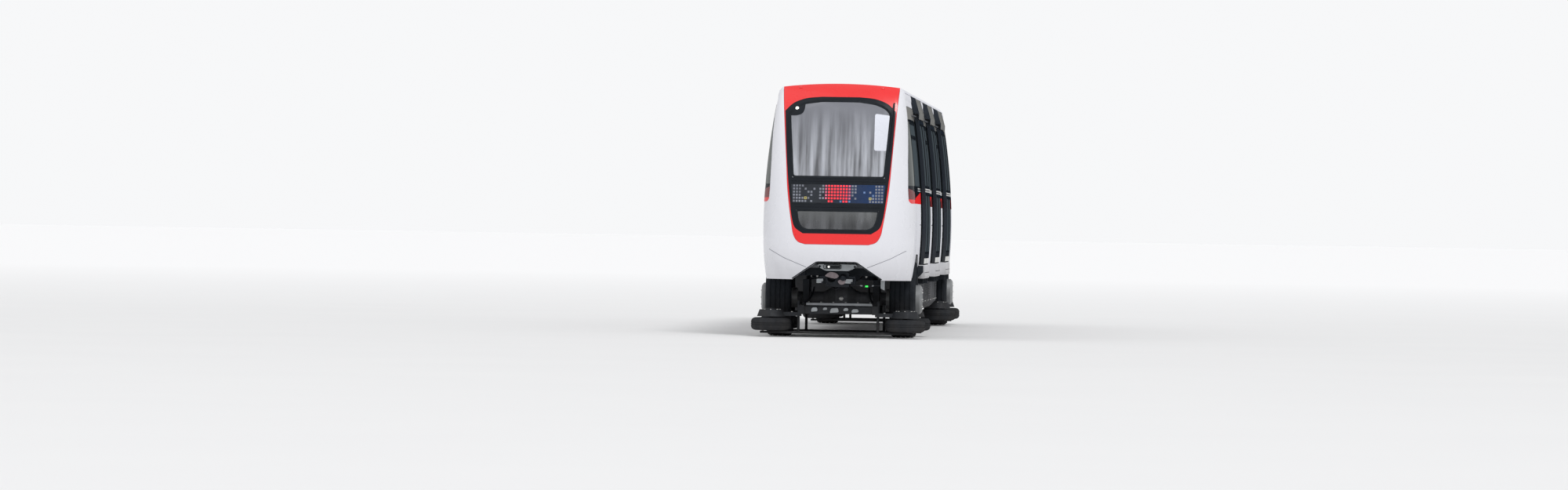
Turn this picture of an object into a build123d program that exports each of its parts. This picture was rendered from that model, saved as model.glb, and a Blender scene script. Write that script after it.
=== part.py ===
from build123d import *
import os

# Lead car of a driverless metro train that runs on rubber tyres, in millimetres.
# X runs along the car with the nose at +X, Y goes to its left and Z up. The origin
# is midway along and across, on the surface that the tyres stand on.

os.makedirs("parts", exist_ok=True)

# Whole car
body_length = 12850
gangway_length = 300
nose_x = (body_length + gangway_length) / 2
rear_x = nose_x - body_length
mask_depth = 700
mask_x = nose_x - mask_depth

# Body section, half of it: half width, height, and how it grows outwards and upwards
section_rows = [
    (930, 700, 1.0, 0.0),
    (980, 1350, 1.0, 0.0),
    (962, 1944, 1.0, 0.0),
    (912, 2500, 1.0, 0.1),
    (824, 3090, 0.95, 0.3),
    (808, 3190, 0.85, 0.5),
    (765, 3245, 0.5, 0.85),
]
crown_z = 3292
wall = 60
sill_z = 790
cantrail_z = 2880
seat_gap = 0.3
running_gap = 5

# Doors
door_count = 3
door_pitch = 3540
first_door_x = nose_x - 3045
portal_length = 1460
aperture_length = 1300
leaf_length = 700
leaf_gap = 15
leaf_thick = 50
leaf_low_z = 957
leaf_high_z = 2870
leaf_frame = 55
leaf_belt_low = 1885
leaf_belt_high = 1985
leaf_kick = 150
leaf_travel = 620
pane = 8
door_xs = [first_door_x - index * door_pitch for index in range(door_count)]

# Side windows
window_low_z = 1960
window_high_z = 2835
window_margin = 70

# Floor and underframe
floor_z = 950
floor_thick = 45
frame_low_z = 800
beam_y = 490
beam_wide = 90

# Axles and their steering
axle_front = 1440
axle_rear = 11740
axle_xs = {"front": nose_x - axle_front, "rear": nose_x - axle_rear}
tyre_radius = 500
tyre_wide = 340
tyre_y = 810
rim_radius = 285
tyre_shoulder = 60
spindle_radius = 50
bead_wide = 45
rim_thick = 24
disc_out = 60
casing_radius = 190
casing_out = 240
arch_low_half = 610
arch_high_half = 190
arch_high_z = 1085
house_half = 625
house_y = 560
house_high_z = 1075
house_skin = 8
slew_outer = 470
slew_inner = 300
slew_z = 745
slew_high = 28

# Guide wheels
guide_reach = 800
guide_y = 870
guide_radius = 262
guide_low_z = 82
guide_high_z = 248
guide_hub = 120
guide_pin = 32

# Door header, rail and threshold
header_foot_y = 928
header_foot_z = 2885
header_bend_z = 2962
header_edge_y = 872
header_edge_z = 3152
header_top_y = 790
header_top_z = 3187
header_skin = 5
header_ribs = 14
rail_y = 896
rail_z = 2905
rail_thick = 15
threshold_y = 1038
threshold_low_z = 770
threshold_high_z = 950
groove_wide = 16
groove_deep = 18


def outline(grow):
    """Sketch of the body's whole section, grown outwards by a distance."""
    half = [(y + grow * out, z + grow * up) for y, z, out, up in section_rows]
    foot, bulge, belt, shoulder, eaves, cant, edge = half
    other = [(-y, z) for y, z in half]
    with BuildSketch() as face:
        with BuildLine():
            ThreePointArc(foot, bulge, belt)
            ThreePointArc(belt, shoulder, eaves)
            ThreePointArc(eaves, cant, edge)
            ThreePointArc(edge, (0, crown_z + grow), other[6])
            ThreePointArc(other[6], other[5], other[4])
            ThreePointArc(other[4], other[3], other[2])
            ThreePointArc(other[2], other[1], other[0])
            Line(other[0], foot)
        make_face()
    return face.sketch


def block(x_span, y_span, z_span, mode=Mode.ADD):
    """A box between two values on each axis, in the open part."""
    spans = (x_span, y_span, z_span)
    with Locations(tuple((low + high) / 2 for low, high in spans)):
        Box(*(abs(high - low) for low, high in spans), mode=mode)


def keep(x_span, z_span, y_span=(-2000, 2000)):
    """Trim the open part to a box."""
    block(x_span, y_span, z_span, mode=Mode.INTERSECT)


def body_bar(x_span, outer, inner, mode=Mode.ADD):
    """A length of the body's section between two growths, in the open part."""
    x_low, x_high = min(x_span), max(x_span)
    with BuildSketch(Plane.YZ.offset(x_low)) as ring:
        add(outline(outer))
        add(outline(inner), mode=Mode.SUBTRACT)
    extrude(ring.sketch, amount=x_high - x_low, mode=mode)


def side_span(side, low, high):
    """The Y span of a piece on the left (1) or on the right (-1)."""
    return (low, high) if side > 0 else (-high, -low)


def finish(part, name):
    """Name a finished piece and write it."""
    part.label = name
    export_step(part, f"parts/{name}.step")


sides = {"left": 1, "right": -1}
inner_face = outline(-wall - seat_gap)

# Side walls: one panel between each two door openings, with its window cut out
half_aperture = aperture_length / 2
panel_spans = []
panel_front = mask_x
for door_x in door_xs:
    panel_spans.append((door_x + half_aperture, panel_front))
    panel_front = door_x - half_aperture
panel_spans.append((rear_x + wall, panel_front))


def window_span(span):
    """The X span of the window in a wall panel, clear of the door portals."""
    overlap = (portal_length - aperture_length) / 2
    low = span[0] + window_margin + (overlap if span[0] > panel_spans[-1][0] else 0)
    high = span[1] - window_margin - (overlap if span[1] < mask_x else 0)
    return (low, high)


def cut_arches():
    """Cut the wheel arches, narrower at the top, out of the open part."""
    for axle_x in axle_xs.values():
        with BuildSketch(Plane.XZ) as arch:
            with BuildLine():
                Polyline(
                    (axle_x - arch_low_half, sill_z - 1),
                    (axle_x + arch_low_half, sill_z - 1),
                    (axle_x + arch_high_half, arch_high_z),
                    (axle_x - arch_high_half, arch_high_z),
                    close=True,
                )
            make_face()
        extrude(arch.sketch, amount=2000, both=True, mode=Mode.SUBTRACT)


for name, side in sides.items():
    with BuildPart() as side_wall:
        for span in panel_spans:
            body_bar(span, 0, -wall)
        keep((rear_x, nose_x), (sill_z, cantrail_z), side_span(side, 0, 2000))
        for span in panel_spans:
            block(window_span(span), side_span(side, 500, 1500), (window_low_z, window_high_z), Mode.SUBTRACT)
        cut_arches()
    finish(side_wall.part, f"side_wall_{name}")

# Panes of the side windows
for name, side in sides.items():
    with BuildPart() as side_panes:
        for span in panel_spans:
            body_bar(window_span(span), -4, -4 - pane)
        keep((rear_x, nose_x), (window_low_z, window_high_z), side_span(side, 500, 1500))
    finish(side_panes.part, f"side_panes_{name}")

# Roof with its cantrails
with BuildPart() as roof:
    body_bar((rear_x + wall, mask_x), 0, -wall)
    keep((rear_x, nose_x), (cantrail_z, crown_z + 10))
finish(roof.part, "roof")

# Rear wall, with the doorway to the next car
doorway_half = 450
doorway_high_z = 2900
with BuildPart() as rear_wall:
    with BuildSketch(Plane.YZ.offset(rear_x)):
        add(outline(0))
    extrude(amount=wall)
    keep((rear_x, nose_x), (sill_z, crown_z + 10))
    block((rear_x - 10, rear_x + wall + 10), (-doorway_half, doorway_half), (floor_z, doorway_high_z), Mode.SUBTRACT)
finish(rear_wall.part, "rear_wall")

# Gangway: half of the folded bellows between two cars
fold_count = 6
fold_deep = 45
bellows_skin = 25
bellows_half = doorway_half + 150
bellows_low_z = floor_z - 90
bellows_high_z = doorway_high_z + 130
bellows_corner = 100
fold_length = gangway_length / (2 * fold_count)
bellows_mid_z = (bellows_low_z + bellows_high_z) / 2
bellows_high = bellows_high_z - bellows_low_z


def bellows_sketch(x, inset):
    """Section of the bellows at a place, moved inwards."""
    with BuildSketch(Plane.YZ.offset(x)) as face:
        with Locations((0, bellows_mid_z)):
            RectangleRounded(2 * (bellows_half - inset), bellows_high - 2 * inset, bellows_corner - inset)
    return face.sketch


with BuildPart() as gangway:
    sections = []
    for index in range(2 * fold_count + 1):
        fold_x = rear_x - gangway_length + index * fold_length
        sections.append(bellows_sketch(fold_x, 0 if index % 2 else fold_deep))
    loft(sections, ruled=True)
    extrude(bellows_sketch(rear_x - gangway_length, fold_deep + bellows_skin), gangway_length, mode=Mode.SUBTRACT)
finish(gangway.part, "gangway")

# Nose form in plan at several heights: height, set back of the front, bow of the
# front, half width where the corner starts, half width of the side
plan_rows = [
    (740, 150, 60, 560, 940),
    (1150, 1, 60, 570, 980),
    (1600, 50, 60, 600, 984),
    (2300, 215, 55, 665, 942),
    (3000, 420, 50, 700, 850),
    (3180, 530, 50, 690, 822),
    (3310, 700, 50, 660, 790),
]


form_length = 1400
mask_low_z = 752
shell = 40


def nose_form(inset):
    """The nose as a solid, moved inwards by a distance."""
    with BuildPart() as form:
        for z, setback, bow, corner_y, half in plan_rows:
            front = nose_x - setback - inset
            side_y = half - inset
            start = (front - bow, corner_y)
            slope = 2 * bow * corner_y / (corner_y ** 2 + bow ** 2)
            radius = (side_y - corner_y) / (1 - slope)
            back = (front - bow - radius * (1 - slope ** 2) ** 0.5, side_y)
            rear = nose_x - form_length
            with BuildSketch(Plane.XY.offset(z)):
                with BuildLine():
                    face = ThreePointArc((start[0], -start[1]), (front, 0), start)
                    TangentArc(start, back, tangent=face % 1)
                    Line(back, (rear, side_y))
                    Line((rear, side_y), (rear, -side_y))
                    Line((rear, -side_y), (back[0], -back[1]))
                    TangentArc((start[0], -start[1]), (back[0], -back[1]), tangent=(face % 0) * -1)
                make_face()
        loft()
        with BuildSketch(Plane.YZ.offset(mask_x - 50)) as prism:
            add(outline(-inset))
        extrude(prism.sketch, amount=mask_depth + 100, mode=Mode.INTERSECT)
        keep((mask_x, nose_x + 50), (mask_low_z, crown_z + 50))
    return form.part


glass_recess = 3
nose_outer = nose_form(0)
nose_inner = nose_form(shell)
glass_outer = nose_form(glass_recess)
glass_inner = nose_form(glass_recess + pane)


def front_prism(rows, corner=None):
    """A prism along X from the right half of a front outline, mirrored."""
    with BuildPart() as prism:
        with BuildSketch(Plane.YZ.offset(mask_x - 20)):
            with BuildLine():
                Polyline(*rows, *[(-y, z) for y, z in reversed(rows)], close=True)
            make_face()
            if corner:
                fillet(vertices(), radius=corner)
        extrude(amount=mask_depth + 80)
    return prism.part


# Outlines of the front's panels, seen from ahead: half width and height
surround_rows = [(410, 1206), (505, 1240), (560, 1320), (592, 1470), (655, 1905), (684, 2300), (752, 3205), (758, 3420)]
frame_rows = [(440, 1345), (545, 1420), (585, 1530), (634, 1890), (674, 2290), (716, 2930), (610, 3030), (455, 3092), (240, 3116)]
upper_rows = [(598, 2066), (640, 2590), (662, 2905), (585, 2985), (455, 3040), (240, 3070)]
display_rows = [(596, 1730), (622, 1993)]
lower_rows = [(400, 1385), (480, 1430), (515, 1515), (536, 1648)]
coupler_rows = [(560, 740), (575, 757), (265, 968), (235, 975)]

surround_prism = front_prism(surround_rows)
frame_prism = front_prism(frame_rows)
upper_prism = front_prism(upper_rows)
display_prism = front_prism(display_rows, corner=12)
lower_prism = front_prism(lower_rows)
coupler_prism = front_prism(coupler_rows)

with BuildPart() as nose_mask:
    add(nose_outer)
    add(nose_inner, mode=Mode.SUBTRACT)
    add(surround_prism, mode=Mode.SUBTRACT)
    add(coupler_prism, mode=Mode.SUBTRACT)
finish(nose_mask.part, "nose_mask")

with BuildPart() as nose_surround:
    add(nose_outer)
    add(nose_inner, mode=Mode.SUBTRACT)
    add(surround_prism, mode=Mode.INTERSECT)
    add(frame_prism, mode=Mode.SUBTRACT)
finish(nose_surround.part, "nose_surround")

with BuildPart() as windscreen_frame:
    add(nose_outer)
    add(nose_inner, mode=Mode.SUBTRACT)
    add(frame_prism, mode=Mode.INTERSECT)
    add(upper_prism, mode=Mode.SUBTRACT)
    add(display_prism, mode=Mode.SUBTRACT)
    add(lower_prism, mode=Mode.SUBTRACT)
finish(windscreen_frame.part, "windscreen_frame")

for name, prism in (("windscreen_upper", upper_prism), ("windscreen_lower", lower_prism)):
    with BuildPart() as windscreen:
        add(glass_outer)
        add(glass_inner, mode=Mode.SUBTRACT)
        add(prism, mode=Mode.INTERSECT)
    finish(windscreen.part, name)

with BuildPart() as display_panel:
    add(glass_outer)
    add(nose_inner, mode=Mode.SUBTRACT)
    add(display_prism, mode=Mode.INTERSECT)
finish(display_panel.part, "display_panel")

# Wiper, parked upright along the left edge of the windscreen
wiper_clear = 6
wiper_thick = 10
wiper_post_radius = 16
wiper_rows = [(606, 2360), (628, 2352), (700, 3045), (672, 3050)]
wiper_pivot = (619, 2380)
wiper_outer = nose_form(-wiper_clear - wiper_thick)
with BuildPart() as wiper_post:
    add(wiper_outer)
    add(nose_form(-seat_gap), mode=Mode.SUBTRACT)
    with BuildSketch(Plane.YZ.offset(mask_x)) as post:
        with Locations(wiper_pivot):
            Circle(wiper_post_radius)
    extrude(post.sketch, amount=mask_depth + 50, mode=Mode.INTERSECT)
with BuildPart() as wiper:
    add(wiper_outer)
    add(nose_form(-wiper_clear), mode=Mode.SUBTRACT)
    with BuildSketch(Plane.YZ.offset(mask_x)) as blade:
        with BuildLine():
            Polyline(*wiper_rows, close=True)
        make_face()
    extrude(blade.sketch, amount=mask_depth + 50, mode=Mode.INTERSECT)
    add(wiper_post.part)
finish(wiper.part, "wiper")

# Floor, cut away over the wheels
floor_half = 893
floor_nose = [(mask_x, floor_half), (nose_x - 430, 820), (nose_x - 300, 560)]
with BuildPart() as floor:
    with BuildSketch(Plane.XY.offset(floor_z - floor_thick)):
        with BuildLine():
            Polyline(
                (rear_x + wall, floor_half),
                *floor_nose,
                *[(x, -y) for x, y in reversed(floor_nose)],
                (rear_x + wall, -floor_half),
                close=True,
            )
        make_face()
    extrude(amount=floor_thick)
    for axle_x in axle_xs.values():
        for side in sides.values():
            block(
                (axle_x - house_half, axle_x + house_half),
                side_span(side, house_y, 1200),
                (floor_z - 100, floor_z + 100),
                Mode.SUBTRACT,
            )
finish(floor.part, "floor")

# Wheel houses under the seats, open below and at the arch
with BuildPart() as wheel_houses:
    for axle_x in axle_xs.values():
        for side in sides.values():
            block(
                (axle_x - house_half + seat_gap, axle_x + house_half - seat_gap),
                side_span(side, house_y + seat_gap, 1200),
                (floor_z - floor_thick, house_high_z + house_skin),
            )
            block(
                (axle_x - house_half + house_skin, axle_x + house_half - house_skin),
                side_span(side, house_y + house_skin, 1300),
                (floor_z - floor_thick - 10, house_high_z),
                Mode.SUBTRACT,
            )
    with BuildSketch(Plane.YZ.offset(rear_x)) as prism:
        add(inner_face)
    extrude(prism.sketch, amount=body_length, mode=Mode.INTERSECT)
finish(wheel_houses.part, "wheel_houses")

# Underframe: side sills, two long beams, cross beams and the slewing rings
sill_inner_y = 800
cross_beam_wide = 80
headstock_back = 860
headstock_x = nose_x - headstock_back + cross_beam_wide / 2
cross_backs = [headstock_back, 2300, 3045, 4800, 6425, 8050, 9825, 10700, 12600]
bolster_half = 500
sill_front_x = axle_xs["front"] - house_half
ring_clear = seat_gap
with BuildPart() as underframe:
    with BuildSketch(Plane.YZ.offset(rear_x + wall)) as prism:
        add(inner_face)
    extrude(prism.sketch, amount=body_length - wall - mask_depth)
    keep((rear_x, sill_front_x), (frame_low_z, floor_z - floor_thick))
    block((rear_x, nose_x), (-sill_inner_y, sill_inner_y), (sill_z - 10, floor_z), Mode.SUBTRACT)
    for axle_x in axle_xs.values():
        block((axle_x - house_half, axle_x + house_half), (-1200, 1200), (sill_z - 10, floor_z), Mode.SUBTRACT)
    for side in sides.values():
        block(
            (rear_x + wall, nose_x - 760),
            side_span(side, beam_y - beam_wide / 2, beam_y + beam_wide / 2),
            (frame_low_z, floor_z - floor_thick),
        )
    for back in cross_backs:
        near = min(abs(nose_x - back - axle_x) for axle_x in axle_xs.values())
        half = sill_inner_y + 20 if near > house_half + cross_beam_wide / 2 else beam_y
        block(
            (nose_x - back - cross_beam_wide / 2, nose_x - back + cross_beam_wide / 2),
            (-half, half),
            (frame_low_z, floor_z - floor_thick),
        )
    for axle_x in axle_xs.values():
        block((axle_x - bolster_half, axle_x + bolster_half), (-beam_y, beam_y), (frame_low_z, floor_z - floor_thick))
        with BuildSketch(Plane.XY.offset(slew_z + slew_high + ring_clear)) as ring:
            with Locations((axle_x, 0)):
                Circle(slew_outer)
                Circle(slew_inner, mode=Mode.SUBTRACT)
        extrude(ring.sketch, amount=frame_low_z - slew_z - slew_high - ring_clear + 1)
finish(underframe.part, "underframe")

# Equipment boxes under the floor between the axles
box_rows = [(2950, 1750), (4880, 2400), (7460, 1500), (9140, 1150)]
box_low_z = 300
box_half = 860
with BuildPart() as equipment_boxes:
    for back, length in box_rows:
        block((nose_x - back - length, nose_x - back), (-box_half, box_half), (box_low_z, frame_low_z))
    chamfer(edges().filter_by(Axis.X).group_by(Axis.Z)[0], length=90)
    chamfer(edges().filter_by(Axis.Z), length=12)
finish(equipment_boxes.part, "equipment_boxes")

# Door headers: hollow ribbed covers over the hangers
rib_high = 6
rib_wide = 22


def header_sketch(skin):
    """Section of a header on the left, moved inwards by a skin."""
    with BuildSketch() as face:
        with BuildLine():
            Polyline(
                (700, header_foot_z - 10 if skin else header_foot_z),
                (header_foot_y - skin, header_foot_z - 10 if skin else header_foot_z),
                (header_foot_y - skin, header_bend_z),
                (header_edge_y - skin, header_edge_z - skin),
                (header_top_y - skin, header_top_z - skin),
                (700, header_top_z - skin),
                close=True,
            )
        make_face()
    return face.sketch


with BuildPart() as door_headers:
    for door_x in door_xs:
        low_x = door_x - portal_length / 2
        with BuildSketch(Plane.YZ.offset(low_x)) as solid:
            add(header_sketch(0))
        extrude(solid.sketch, amount=portal_length)
        with BuildSketch(Plane.YZ.offset(low_x + header_skin)) as hollow_sketch:
            add(header_sketch(header_skin))
        extrude(hollow_sketch.sketch, amount=portal_length - 2 * header_skin, mode=Mode.SUBTRACT)
        rib_pitch = (portal_length - 60) / header_ribs
        for index in range(header_ribs):
            rib_x = low_x + 30 + (index + 0.5) * rib_pitch
            with BuildSketch(Plane.YZ.offset(rib_x - rib_wide / 2)) as rib:
                with BuildLine():
                    Polyline(
                        (header_foot_y - 2, header_bend_z),
                        (header_foot_y + rib_high, header_bend_z + 8),
                        (header_edge_y + rib_high, header_edge_z - 8),
                        (header_edge_y - 2, header_edge_z - 2),
                        close=True,
                    )
                make_face()
            extrude(rib.sketch, amount=rib_wide)
        block((low_x - 1, low_x + portal_length + 1), (700, header_foot_y - header_skin), (header_foot_z - 20, header_bend_z - 12), Mode.SUBTRACT)
    with BuildSketch(Plane.YZ.offset(rear_x)) as prism:
        add(outline(seat_gap))
    extrude(prism.sketch, amount=body_length, mode=Mode.SUBTRACT)
    mirror(about=Plane.XZ)
finish(door_headers.part, "door_headers")

# Rails that the door hangers slide on, along both cantrails
rail_over = portal_length / 2 + leaf_travel
with BuildPart() as door_rails:
    block(
        (door_xs[-1] - rail_over, door_xs[0] + rail_over),
        (800, rail_y),
        (rail_z, rail_z + rail_thick),
    )
    with BuildSketch(Plane.YZ.offset(rear_x)) as prism:
        add(outline(seat_gap))
    extrude(prism.sketch, amount=body_length, mode=Mode.SUBTRACT)
    mirror(about=Plane.XZ)
finish(door_rails.part, "door_rails")

# Thresholds: a proud box under each doorway and the sill across the wall
groove_y = 985
with BuildPart() as door_thresholds:
    for door_x in door_xs:
        low_x = door_x - portal_length / 2
        block((low_x, low_x + portal_length), (900, threshold_y), (threshold_low_z, threshold_high_z))
    chamfer(edges().filter_by(Axis.X).group_by(Axis.Y)[-1], length=8)
    with BuildSketch(Plane.YZ.offset(rear_x)) as prism:
        add(outline(seat_gap))
    extrude(prism.sketch, amount=body_length, mode=Mode.SUBTRACT)
    for door_x in door_xs:
        with BuildPart(mode=Mode.PRIVATE) as sill:
            body_bar((door_x - half_aperture + seat_gap, door_x + half_aperture - seat_gap), 5, -wall)
            keep((rear_x, nose_x), (sill_z, threshold_high_z), (500, 1500))
        add(sill.part)
        block(
            (door_x - portal_length / 2 + 12, door_x + portal_length / 2 - 12),
            (groove_y - groove_wide / 2, groove_y + groove_wide / 2),
            (threshold_high_z - groove_deep, threshold_high_z + 10),
            Mode.SUBTRACT,
        )
    mirror(about=Plane.XZ)
finish(door_thresholds.part, "door_thresholds")

# Brackets at the ends of the sills, beside the wheel arches
bracket_backs = [2060, 10960]
bracket_length = 200
with BuildPart() as sill_brackets:
    for back in bracket_backs:
        block((nose_x - back - bracket_length, nose_x - back), (900, 1023), (sill_z, 940))
    chamfer(edges().filter_by(Axis.X).group_by(Axis.Z)[0].sort_by(Axis.Y)[-1:], length=60)
    with BuildSketch(Plane.YZ.offset(rear_x)) as prism:
        add(outline(seat_gap))
    extrude(prism.sketch, amount=body_length, mode=Mode.SUBTRACT)
    mirror(about=Plane.XZ)
finish(sill_brackets.part, "sill_brackets")

# Door leaves, each with its panes, hangers and guide finger
finger_half = 3
hanger_half = 35
hanger_plate = 8
hanger_top_z = rail_z + rail_thick + seat_gap + 12
meeting_gap = running_gap / 2
hanger_ins = [60, 560]
finger_in = 60


def leaf(door_x, side, way):
    """A leaf that starts at the doorway's middle and goes forward (1) or back (-1)."""
    near = door_x + way * meeting_gap
    far = door_x + way * (meeting_gap + leaf_length)
    span = (min(near, far), max(near, far))
    glass = (span[0] + leaf_frame, span[1] - leaf_frame)
    with BuildPart() as frame:
        body_bar(span, leaf_gap + leaf_thick, leaf_gap)
        keep((rear_x, nose_x), (leaf_low_z, leaf_high_z), (500, 1500))
        block(glass, (500, 1500), (leaf_low_z + leaf_kick, leaf_belt_low), Mode.SUBTRACT)
        block(glass, (500, 1500), (leaf_belt_high, leaf_high_z - leaf_frame), Mode.SUBTRACT)
        for hanger_in in hanger_ins:
            middle = door_x + way * hanger_in
            hanger = (middle - hanger_half, middle + hanger_half)
            plate_y = (rail_y + running_gap, rail_y + running_gap + hanger_plate)
            block(hanger, plate_y, (leaf_high_z - 5, hanger_top_z))
            block(hanger, (rail_y - 16, rail_y + running_gap + 2), (hanger_top_z - 12, hanger_top_z))
        finger = door_x + way * finger_in
        block(
            (finger - 20, finger + 20),
            (groove_y - finger_half, groove_y + finger_half),
            (threshold_high_z - groove_deep + running_gap, leaf_low_z + 5),
        )
    with BuildPart() as panes:
        body_bar(glass, leaf_gap + leaf_thick - 6, leaf_gap + leaf_thick - 6 - pane)
        with BuildPart(mode=Mode.PRIVATE) as holes:
            block(glass, (500, 1500), (leaf_low_z + leaf_kick, leaf_belt_low))
            block(glass, (500, 1500), (leaf_belt_high, leaf_high_z - leaf_frame))
        add(holes.part, mode=Mode.INTERSECT)
    with BuildPart() as whole:
        add(frame.part)
        add(panes.part)
        if side < 0:
            mirror(about=Plane.XZ, mode=Mode.REPLACE)
    return whole.part


for index, door_x in enumerate(door_xs):
    for name, side in sides.items():
        for way_name, way in (("front", 1), ("rear", -1)):
            finish(leaf(door_x, side, way), f"door_{index + 1}_{name}_{way_name}_leaf")

# Coupler under the nose
coupler_z = 775
coupler_head_x = nose_x - 330
coupler_half = 150
shank_radius = 52
with BuildPart() as coupler:
    with BuildSketch(Plane.YZ.offset(headstock_x)):
        with Locations((0, coupler_z)):
            Circle(shank_radius)
    extrude(amount=coupler_head_x - headstock_x - 100)
    block((coupler_head_x - 200, coupler_head_x), (-coupler_half, coupler_half), (coupler_z - 115, coupler_z + 85))
    chamfer(edges().filter_by(Axis.X).group_by(Axis.Z)[-1], length=30)
    with BuildSketch(Plane.YZ.offset(coupler_head_x)) as cone_foot:
        with Locations((75, coupler_z)):
            Circle(55)
    extrude(cone_foot.sketch, amount=70, taper=20)
    with BuildSketch(Plane.YZ.offset(coupler_head_x)) as cup:
        with Locations((-75, coupler_z)):
            Circle(58)
    extrude(cup.sketch, amount=-75, taper=20, mode=Mode.SUBTRACT)
    for side in sides.values():
        block((coupler_head_x - 160, coupler_head_x - 20), side_span(side, 140, 235), (700, 765))
    block((headstock_x - cross_beam_wide, headstock_x), (-170, 170), (690, frame_low_z))
finish(coupler.part, "coupler")

# Plate with a slot under the nose, over the coupler
bar_rows = [(142, 868), (200, 890), (256, 930), (235, 952)]
bar_x = nose_x - 260
cable_x = nose_x - 495
bracket_thick = 16
bracket_top_z = floor_z - floor_thick - seat_gap
cable_bracket = [(552, 649), (552, bracket_top_z), (604, bracket_top_z), (604, 622)]
with BuildPart() as nose_bar:
    with BuildSketch(Plane.YZ.offset(bar_x)):
        with BuildLine():
            Polyline(*bar_rows, *[(-y, z) for y, z in reversed(bar_rows)], close=True)
        make_face()
    extrude(amount=-14)
    block((bar_x - 8, bar_x + 5), (-150, 60), (893, 944), Mode.SUBTRACT)
    for side in sides.values():
        with BuildSketch(Plane.YZ.offset(bar_x - 14)) as stalk:
            with Locations((side * 120, 885)):
                Circle(12)
        extrude(stalk.sketch, amount=headstock_x - bar_x + 14)
    with BuildSketch(Plane.YZ.offset(cable_x)) as hanger_plate_face:
        with BuildLine():
            Polyline(*cable_bracket, close=True)
        make_face()
    extrude(hanger_plate_face.sketch, amount=-bracket_thick)
finish(nose_bar.part, "nose_bar")

# Cable from the coupler's head to its bracket
cable_radius = 8
cable_bend = 45
cable_z = 686
cable_points = [
    (coupler_head_x - 150, coupler_half + seat_gap, cable_z),
    (coupler_head_x - 150, coupler_half + 110, cable_z),
    (cable_x - 20, 370, cable_z - 16),
    (cable_x - bracket_thick / 2, 470, cable_z - 2),
    (cable_x - bracket_thick / 2, cable_bracket[0][0] - seat_gap, cable_z - 2),
]
with BuildPart() as nose_cable:
    with BuildLine() as cable_path:
        FilletPolyline(*cable_points, radius=cable_bend)
    with BuildSketch(Plane(origin=cable_path.wire() @ 0, z_dir=cable_path.wire() % 0)):
        Circle(cable_radius)
    sweep(path=cable_path.wire())
finish(nose_cable.part, "nose_cable")

# Seats over the wheel houses and along the walls: distance behind the nose of the
# backrest, side, and the way that the sitter faces
seat_wide = 440
seat_rows = [
    (760, 1, -1), (760, -1, -1),
    (2000, 1, 1), (2000, -1, 1),
    (4560, 1, -1), (4560, -1, -1), (5880, 1, 1), (5880, -1, 1),
    (8100, 1, -1), (8100, -1, -1), (9400, 1, 1), (9400, -1, 1),
    (11080, 1, -1), (11080, -1, -1), (12400, 1, 1), (12400, -1, 1),
]
seat_high_z = floor_z + 440
back_high_z = floor_z + 880
seat_deep = 430
seat_thick = 60
seat_wall_y = 860
with BuildPart() as seats:
    for back, side, way in seat_rows:
        back_x = nose_x - back
        with BuildSketch(Plane.XZ.offset(-side * (seat_wall_y if side > 0 else seat_wall_y - seat_wide))) as profile:
            with BuildLine():
                Polyline(
                    (back_x, seat_high_z - seat_thick),
                    (back_x + way * seat_deep, seat_high_z - seat_thick),
                    (back_x + way * seat_deep, seat_high_z),
                    (back_x + way * seat_thick * 1.6, seat_high_z - 15),
                    (back_x + way * seat_thick * 0.5, back_high_z),
                    (back_x - way * seat_thick * 0.4, back_high_z),
                    close=True,
                )
            make_face()
        extrude(profile.sketch, amount=seat_wide if side > 0 else seat_wide)
        foot = sorted((back_x + way * 60, back_x + way * 330))
        over_wheel = any(abs(sum(foot) / 2 - axle_x) < house_half for axle_x in axle_xs.values())
        foot_z = house_high_z + house_skin if over_wheel else floor_z
        foot_y = side_span(side, seat_wall_y - 290, seat_wall_y - 140)
        block(foot, foot_y, (foot_z, seat_high_z - seat_thick + 2))
finish(seats.part, "seats")

# Grab poles between floor and ceiling
pole_radius = 17
pole_y = 395
pole_backs = [1250, 4800, 8300, 11800]
door_poles = [(door_x, 0) for door_x in door_xs]
side_poles = [(nose_x - back, side * pole_y) for back in pole_backs for side in sides.values()]
with BuildPart() as grab_poles:
    with BuildSketch(Plane.XY.offset(floor_z)):
        with Locations(*door_poles, *side_poles):
            Circle(pole_radius)
    extrude(amount=crown_z)
    with BuildSketch(Plane.YZ.offset(rear_x)) as prism:
        add(outline(-wall - seat_gap))
    extrude(prism.sketch, amount=body_length, mode=Mode.INTERSECT)
finish(grab_poles.part, "grab_poles")

# Steered axle and guide frame, the same at both ends
long_beam_y = 480
long_beam_wide = 80
long_beam_z = (300, 415)
long_beam_half = 860
cross_beam_x = 560
cross_beam_z = (360, 450)
arm_z = (272, 322)
arm_wide = 110
cap_low_radius = 185
cap_high_radius = 155
cap_z = (262, 350)
plate_z = (46, 72)
plate_half = 1010
axle_z = tyre_radius
axle_tube = 85
hub_face_y = tyre_y - tyre_wide / 2 - 60
spindle_y = tyre_y + 60

# Half of the axle's profile: distance from the middle, radius
axle_rows = [
    (75, 190),
    (185, 110),
    (240, axle_tube),
    (hub_face_y, axle_tube),
    (hub_face_y, spindle_radius),
    (spindle_y, spindle_radius),
]

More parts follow.
